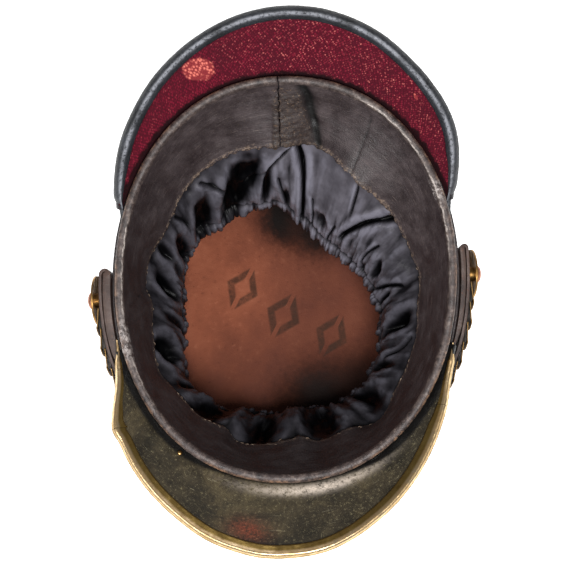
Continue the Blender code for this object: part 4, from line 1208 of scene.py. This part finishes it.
def build_rear_peak():
    peak = Peak(REAR_OUTLINE, REAR_REACH, REAR_SLOPE)
    first, last = REAR_OUTLINE[0][0], REAR_OUTLINE[-1][0]
    leather = plain_leather_material("peak_leather", (26, 23, 25), (44, 40, 42), (64, 58, 60),
                                     (110, 102, 98), 0.42)
    build_plate("rear_peak_leather", peak, first, last, leather, "rear_visor", {})
    lift = VISOR_THICK / 2 + CLEARANCE + CLOTH_THICK / 2
    angle = np.linspace(first, last, 2400)
    angle = angle[peak.plate_width(angle) > 2 * CLOTH_START]
    angle = np.linspace(angle[0], angle[-1], 420)
    shares = np.linspace(0.0, 1.0, 60)
    end = peak.plate_width(angle) - CLEARANCE
    grid = np.array([peak.place(angle, CLOTH_START + (end - CLOTH_START) * s, lift) for s in shares])
    out = CLOTH_START + (end - CLOTH_START)[None, :] * shares[:, None]
    a = angle[None, :]
    metre = radians(1.0) * CLOTH_ARM
    spot = np.zeros(grid.shape[:2])
    ragged = noisy(grid, 0.004, 41.0)
    for centre, distance, long, short, lean in CLOTH_SPOTS:
        x, y = (a - centre) * metre, out - distance
        c, s = cos(radians(lean)), sin(radians(lean))
        size = np.hypot((x * c + y * s) / long, (y * c - x * s) / short)
        spot = np.maximum(spot, eased((1.06 - size + 0.16 * ragged) / 0.18))
    wear = 0.35 * eased(0.5 + 1.4 * noisy(grid, 0.018, 42.0))
    for centre, distance, long, short in CLOTH_WEAR:
        wear = np.maximum(wear, bell((a - centre) * metre, long) * bell(out - distance, short))
    wear = wear * (0.25 + 0.75 * eased((118.0 - a) / 26.0))
    # Painted shadow along the cloth's inner edge, under the rim
    gap = 0.95 * eased((0.0046 + 0.0010 * ragged - out) / 0.0014 + 0.5)
    push = 0.00016 * noisy(grid, 0.010, 43.0, octaves=2) - 0.00012 * spot
    piece = grid_object("rear_peak_cloth", pushed(grid, False, push), False, CLOTH_THICK * 0.8,
                        {"spot": spot, "wear": wear, "gap": gap}, (a * metre, out))
    finish_piece(piece, red_cloth_material(), ["rear_visor_cloth"])
    top = VISOR_THICK / 2 + 2 * CLEARANCE + CLOTH_THICK
    section = rounded_channel(top, VISOR_THICK / 2 + CLEARANCE, BINDING_THICK, BINDING_LEG, 11)
    # A strip along the binding's top, for its wear and its painted highlight
    crest = [exp(-((x + 0.0004) / 0.0009) ** 2) if y > 0 else 0.0 for x, y in section]
    build_channel("rear_peak_binding", peak, np.linspace(first - 4.5, last + 3.0, 640), section, BINDING_LEG,
                  binding_material(), "rear_visor_binding", crest, 0.00016, (9, 7), 0.0048)
    return piece


def build_base_band():
    angle = ring(540)
    downs = np.linspace(BASE_TOP + 0.0004, BASE_BOTTOM - 0.0004, 26)
    downs = np.concatenate([[BASE_TOP], downs, [BASE_BOTTOM]])
    grid = np.array([wall_place(angle, down, BASE_MIDDLE) for down in downs])
    lumps = noisy(grid, 0.014, 51.0, octaves=2)
    cracks = noisy(grid, 0.0022, 52.0)
    edge = 1.0 - eased(np.minimum(downs - BASE_TOP, BASE_BOTTOM - downs) / 0.0012)[:, None]
    push = 0.00010 * lumps + 0.00005 * cracks - 0.0002 * edge
    piece = grid_object("base_band_leather", pushed(grid, True, -push), True, BASE_THICK * 0.95)
    leather = plain_leather_material("base_leather", (30, 25, 25), (52, 44, 44), (76, 66, 64),
                                     (128, 114, 108), 0.46)
    finish_piece(piece, leather, ["base_band"])


def build_body():
    angle = ring(240)
    middle = -WALL_THICK / 2
    shares = np.linspace(0.0, 1.0, 40)
    grid = np.array([wall_place(angle, wall_length(angle, CROWN_THICK + CLEARANCE) * share, middle)
                     for share in shares])
    push = 0.00012 * noisy(grid, 0.022, 61.0, octaves=2) * eased((shares - 0.12) / 0.1)[:, None]
    piece = grid_object("felt_wall", pushed(grid, True, -push), True, WALL_THICK)
    finish_piece(piece, felt_material(), ["body"])


CROWN_COLUMNS = 360


def build_crown():
    """The crown: tan inside, black leather outside, its skirt turned over the wall."""
    face = CLEARANCE + CROWN_THICK
    angle = ring(CROWN_COLUMNS)
    foot = wall_foot(angle)
    rows = [foot * share for share in (0.0, 0.25, 0.5, 0.75, 0.93)]
    rows.append(wall_foot(angle, face - CROWN_EDGE_RADIUS))
    for swing in np.linspace(0.0, 90.0, 7)[1:]:
        across, along = turn(swing)
        lift = CROWN_EDGE_RADIUS * (1.0 - across)
        rows.append(wall_foot(angle, face - CROWN_EDGE_RADIUS * (1.0 - along)) + np.array([0.0, 0.0, lift]))
    rows += [wall_place(angle, wall_length(angle, height), face)
             for height in np.linspace(CROWN_EDGE_RADIUS, CROWN_SKIRT, 18)[1:]]
    rows += [wall_place(angle, wall_length(angle, height), CLEARANCE)
             for height in np.linspace(CROWN_SKIRT, CROWN_THICK, 14)]
    floor_row = len(rows) - 1
    for share in (0.995, 0.97, 0.9, 0.75, 0.5, 0.25, 0.0):
        row = foot * share
        row[:, 2] = CROWN_THICK
        rows.append(row)
    piece = grid_object("crown_leather", np.array(rows), True)
    leather = plain_leather_material("skirt_leather", (26, 23, 24), (42, 38, 40), (62, 56, 58),
                                     (112, 100, 96), 0.44)
    finish_piece(piece, leather, ["crown_top"])
    piece.data.materials.append(crown_material())
    for polygon in piece.data.polygons:
        polygon.material_index = int(polygon.index // CROWN_COLUMNS >= floor_row)
    weld = piece.modifiers.new("weld", "WELD")
    weld.merge_threshold = 0.00002


class Strap:
    """One half of the chin strap, from its rosette round to the front centre."""

    def __init__(self, side):
        self.side = side
        self.start = ROSETTE_ANGLES[side]
        finish = FRONT_ANGLE if side == "left" else FRONT_ANGLE - 360.0
        self.sweep = finish - self.start
        share = np.linspace(0.0, 1.0, 401)
        path = self.place(share)
        steps = np.linalg.norm(np.diff(path, axis=0), axis=-1)
        self.lengths = np.concatenate([[0.0], np.cumsum(steps)])

    def width(self, share):
        return STRAP_WIDTH_ROSETTE + (STRAP_WIDTH_FRONT - STRAP_WIDTH_ROSETTE) * np.maximum(share, 0.0)

    def down(self, share):
        return STRAP_DOWN_ROSETTE + (STRAP_DOWN_FRONT - STRAP_DOWN_ROSETTE) * np.maximum(share, 0.0)

    def lift(self, share):
        lifts = {
            "doubled": TAB_MIDDLE + STRAP_THICK + STRAP_PLY_GAPS[self.side],
            "flat": TAB_MIDDLE,
            "keeper": TAB_MIDDLE + CLEARANCE + KEEPER_THICK,
        }
        return curve_value([(at, lifts[layer]) for at, layer in STRAP_LIFT], share)

    def place(self, share, up=0.0, out=None):
        share = np.asarray(share, float)
        if out is None:
            out = self.lift(share)
        return wall_place(self.start + self.sweep * share, self.down(share) - up, out)

    def share_at(self, length):
        if length <= 0.0:
            return length / self.lengths[1] / (len(self.lengths) - 1)
        return float(np.interp(length, self.lengths, np.linspace(0.0, 1.0, len(self.lengths))))

    def frame(self, share, rise=0.0):
        step = 0.004
        along = self.place(share + step) - self.place(share - step)
        angle = self.start + self.sweep * share
        out = unit(np.cross(along, wall_down(angle)))
        if float(dots(out, outward(angle))) < 0.0:
            out = -out
        return frame_matrix(self.place(share) + out * rise, along, out)


def build_strap(strap, leather):
    """The strap as a rounded ribbon, its end doubled back behind the rosette."""
    radius = (float(strap.lift(0.0)) - TAB_MIDDLE) / 2
    back = strap.share_at(-STRAP_TURN_BACK)
    inner_count = 40
    ribbon = [(share, TAB_MIDDLE) for share in np.linspace(strap.share_at(STRAP_TAB), back, inner_count)]
    for swing in np.linspace(-90.0, 90.0, 11)[1:-1]:
        across, along = turn(swing)
        ribbon.append((strap.share_at(-STRAP_TURN_BACK - radius * across), TAB_MIDDLE + radius * (1 + along)))
    end = 1.0 - strap.share_at(CLEARANCE)
    ribbon += [(share, float(strap.lift(share))) for share in np.linspace(back, end, 150)]
    share, out = np.array(ribbon, float).T
    width = strap.width(share)
    grid = np.array([strap.place(share, across * width, out)
                     for across in (-0.5, -0.485, -0.46, -0.3, -0.15, 0.0, 0.15, 0.3, 0.46, 0.485, 0.5)])
    index = np.arange(len(ribbon))
    room = strap.lift(share) - TAB_MIDDLE - STRAP_PLY_SLIT
    passed = (STRAP_TAB + STRAP_TURN_BACK) * index / (inner_count - 1)
    skived = STRAP_THIN + (room - STRAP_THIN) * eased(passed / STRAP_SKIVE) - STRAP_THICK
    turned = STRAP_PLY_GAPS[strap.side] - STRAP_PLY_SLIT
    turned = turned * np.clip(1.0 - (index - inner_count + 1) / 4.0, 0, 1)
    fill = np.where(index < inner_count, skived, turned)
    away = outward(strap.start + strap.sweep * share)
    grid = grid + (away * tall(fill / 2))[None]
    thick = np.maximum(STRAP_THICK * 0.94 + fill, STRAP_THIN)
    push = 0.00008 * noisy(grid, 0.004, 71.0) + 0.00012 * noisy(grid, 0.013, 72.0, octaves=2)
    piece = grid_object("chin_strap_" + strap.side, pushed(grid, False, push), False, float(thick.max()))
    group = piece.vertex_groups.new(name="thickness")
    for index in range(len(piece.data.vertices)):
        group.add([index], float(thick[index % len(ribbon)] / thick.max()), "REPLACE")
    piece.modifiers["thickness"].vertex_group = "thickness"
    bevel = piece.modifiers.new("edges", "BEVEL")
    bevel.width = 0.0004
    bevel.segments = 2
    bevel.limit_method = "ANGLE"
    bevel.angle_limit = radians(50)
    finish_piece(piece, leather, ["strap_" + strap.side])


def build_scale(name, matrix, width, material, node):
    """One brass scale: arched across, ribbed down its middle, its free end lobed and rolled."""
    half = width / 2
    rows, columns = 26, 31
    across = np.linspace(-1.0, 1.0, columns)[None, :]
    share = np.linspace(0.0, 1.0, rows)[:, None]
    length = SCALE_LENGTH * (1.0 - SCALE_ROUNDING * across**2)
    x = share * length
    arch = SCALE_BULGE * (1.0 - across**2)
    rib = 0.00018 * bell(across, 0.12) * eased((0.96 - share) / 0.2)
    lip = 0.00026 * bell((1.0 - share) * length - 0.0011, 0.0007)
    side_lip = 0.00016 * bell(1.0 - np.abs(across), 0.10)
    z = arch + rib + lip + side_lip + SCALE_THICK / 2 - 0.00005
    grid = stacked(x.shape, x, across * half, z)
    flat = np.array([tuple(matrix @ Vector(p)) for p in grid.reshape(-1, 3)]).reshape(grid.shape)
    values = {"crest": np.clip(eased((share - 0.86) / 0.1) + eased((np.abs(across) - 0.88) / 0.08), 0, 1)}
    piece = grid_object(name, flat, False, SCALE_THICK * 0.9, values)
    finish_piece(piece, material, [node])


def scale_material():
    s = Shader("scale_brass", 0.35, 1.0)
    patina = s.noise(260.0, 6.0, rough=0.75)
    fine = s.noise(1500.0, 4.0, rough=0.75)
    s.base = s.ramp(patina, (0.28, (36, 27, 20)), (0.50, (78, 60, 40)), (0.74, (138, 108, 66)))
    # Rolled lip and side edges lighter: rubbed brass and a painted highlight
    s.lay((190, 152, 96), s.times(s.attribute("crest"), 0.35))
    s.lay((40, 30, 20), fine, 0.58, 0.72, 0.6)
    s.bump((fine, 0.00006), (patina, 0.00012))
    return s.done(patina, 0.56, 0.32)


def build_scales(strap, material):
    room = strap.lengths[-1] - SCALE_START - KEEPER_WIDTH / 2 - SCALE_LENGTH
    for i in range(int(room / SCALE_PITCH) + 1):
        share = strap.share_at(SCALE_START + i * SCALE_PITCH)
        base = strap.frame(share, STRAP_THICK / 2 + CLEARANCE)
        tilt = Matrix.Rotation(radians(-SCALE_TILT), 4, "Y")
        node = "scale_%s_%02d" % (strap.side, i + 1)
        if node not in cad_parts:
            break
        width = float(strap.width(share)) - 2 * SCALE_MARGIN
        build_scale("brass_" + node, base @ tilt, width, material, node)


def petals(radius, swing):
    """Raised petals and a beaded ring on a rosette, outside its hub."""
    if radius <= 0.6 * ROSETTE_HUB:
        return 0.0
    reach = radius / (ROSETTE_DIAMETER / 2)
    petal = 0.00030 * cos(swing * 12) * exp(-((reach - 0.62) / 0.20) ** 2)
    bead = 0.00012 * cos(swing * 40) * exp(-((reach - 0.90) / 0.05) ** 2)
    return petal + bead


def build_rosette(strap, brass, copper):
    base = strap.frame(0.0, STRAP_THICK / 2 + CLEARANCE)
    radius, hub = ROSETTE_DIAMETER / 2, ROSETTE_HUB / 2
    low, high = ROSETTE_LIFT, ROSETTE_LIFT + ROSETTE_THICK
    bore = ROSETTE_BORE / 2
    profile = [(bore, high + ROSETTE_DISH), (hub, high + ROSETTE_DISH)]
    for share in np.linspace(0.0, 1.0, 14)[1:]:
        r = hub + (radius - hub) * share
        rise = float(np.interp(share, [0.0, 0.68, 1.0], [ROSETTE_DISH, 0.0, -ROSETTE_DISH / 3]))
        profile.append((r, high + rise))
    profile += [(radius + 0.0001, high - ROSETTE_DISH / 3 - 0.0002), (radius, low - ROSETTE_DISH / 3)]
    profile += [(radius * 0.75, low), (hub, low + ROSETTE_DISH), (hub, 0.0), (bore, 0.0)]
    piece = turned_piece("brass_rosette_" + strap.side, profile, base, 120, petals)
    finish_piece(piece, brass, ["rosette_" + strap.side])
    seat = ROSETTE_LIFT + ROSETTE_THICK + ROSETTE_DISH + CLEARANCE
    head, shank = SCREW_HEAD / 2, SCREW_SHANK / 2
    foot = 2 * CLEARANCE - (float(strap.lift(0.0)) + STRAP_THICK / 2 + CLEARANCE)
    profile = [(0.0, seat + SCREW_DOME)]
    for k in range(1, 9):
        swing = pi / 2 * k / 8
        profile.append((head * sin(swing), seat + 0.0003 + (SCREW_DOME - 0.0003) * cos(swing) ** 0.9))
    profile += [(head, seat), (shank, seat), (shank, foot), (0.0, foot)]
    piece = turned_piece("copper_screw_" + strap.side, profile, base, 48)
    bump_piece(piece, 0.00008, 0.0012)
    finish_piece(piece, copper, ["rosette_screw_" + strap.side])


def build_keeper(strap, brass):
    """The plain loop round both strap ends, its section carried round four rounded corners."""
    base = strap.frame(1.0)
    half, corner = KEEPER_WIDTH / 2, 0.0009
    inner_up = STRAP_WIDTH_FRONT / 2 + CLEARANCE - corner
    inner_out = STRAP_THICK / 2 + CLEARANCE - corner
    low, high = KEEPER_THICK - 0.00005, KEEPER_THICK + 0.00015
    section = [(-half, 0.0), (-half, 0.0005), (-half + 0.0003, KEEPER_THICK), (-half + 0.0012, high),
               (-half + 0.0022, low), (0.0, low), (half - 0.0022, low), (half - 0.0012, high),
               (half - 0.0003, KEEPER_THICK), (half, 0.0005), (half, 0.0)]
    points = []
    for up, out, first in ((1, 1, 0.0), (-1, 1, 90.0), (-1, -1, 180.0), (1, -1, 270.0)):
        for swing in np.linspace(first, first + 90.0, 5):
            c, s = turn(swing)
            points += [tuple(base @ Vector((x, up * inner_up + c * (corner + rise),
                                            out * inner_out + s * (corner + rise)))) for x, rise in section]
    count = len(section)
    faces = quads(len(points) // count + 1, count, True)
    faces = [[vertex % len(points) for vertex in face] for face in faces]
    piece = mesh_piece("brass_keeper", points, faces, 50)
    finish_piece(piece, brass, ["strap_keeper"])


def build_metalwork():
    leather = plain_leather_material("strap_leather", (26, 18, 16), (68, 52, 46), (94, 75, 66),
                                     (158, 96, 62), 0.52)
    scale = scale_material()
    brass = brass_material("rosette_brass", (196, 156, 96), (134, 100, 56), (54, 40, 24), 0.34)
    copper = brass_material("screw_copper", (206, 156, 134), (158, 108, 86), (82, 54, 42), 0.42)
    straps = [Strap("right"), Strap("left")]
    for strap in straps:
        build_strap(strap, leather)
        build_scales(strap, scale)
        build_rosette(strap, brass, copper)
    build_keeper(straps[0], brass)


def make_light(name, place, size, power):
    data = bpy.data.lights.new(name, "AREA")
    data.shape = "RECTANGLE"
    data.size, data.size_y = size
    data.energy = power
    lamp = linked(name, data)
    lamp.location = place
    lamp.rotation_euler = (LAMP_AIM - Vector(place)).to_track_quat("-Z", "Y").to_euler()


LAMP_AIM = Vector((0.0, 0.0, 0.06))
WORLD_LIGHT = 0.19
# Lamps: (name, place, size, watts)
LAMPS = (("key", (0.16, -0.62, 1.34), (0.50, 0.50), 23.0), ("left", (-0.66, -0.50, 1.10), (0.40, 0.40), 7.0),
         ("back", (0.40, 1.3, 0.8), (0.9, 0.4), 2.2))
FLOOR_GLOW = 0.95


def build_studio():
    size = 3.0
    mesh = bpy.data.meshes.new("floor")
    mesh.from_pydata([(-size, -size, 0.0), (size, -size, 0.0), (size, size, 0.0), (-size, size, 0.0)], [],
                     [(0, 1, 2, 3)])
    mesh.materials.append(floor_material())
    linked("floor", mesh)
    world = bpy.data.worlds.new("studio")
    bpy.context.scene.world = world
    world.use_nodes = True
    background = world.node_tree.nodes["Background"]
    background.inputs["Color"].default_value = (1.0, 1.0, 1.0, 1.0)
    background.inputs["Strength"].default_value = WORLD_LIGHT
    for name, place, size, power in LAMPS:
        make_light(name, place, size, power)
    view = bpy.context.scene.view_settings
    view.view_transform = "Standard"
    view.look = "None"


make_camera()
build_studio()
build_stitches(*build_sweatband())
lining = build_lining()
build_front_peak()
cloth = build_rear_peak()
build_base_band()
build_body()
build_crown()
build_metalwork()
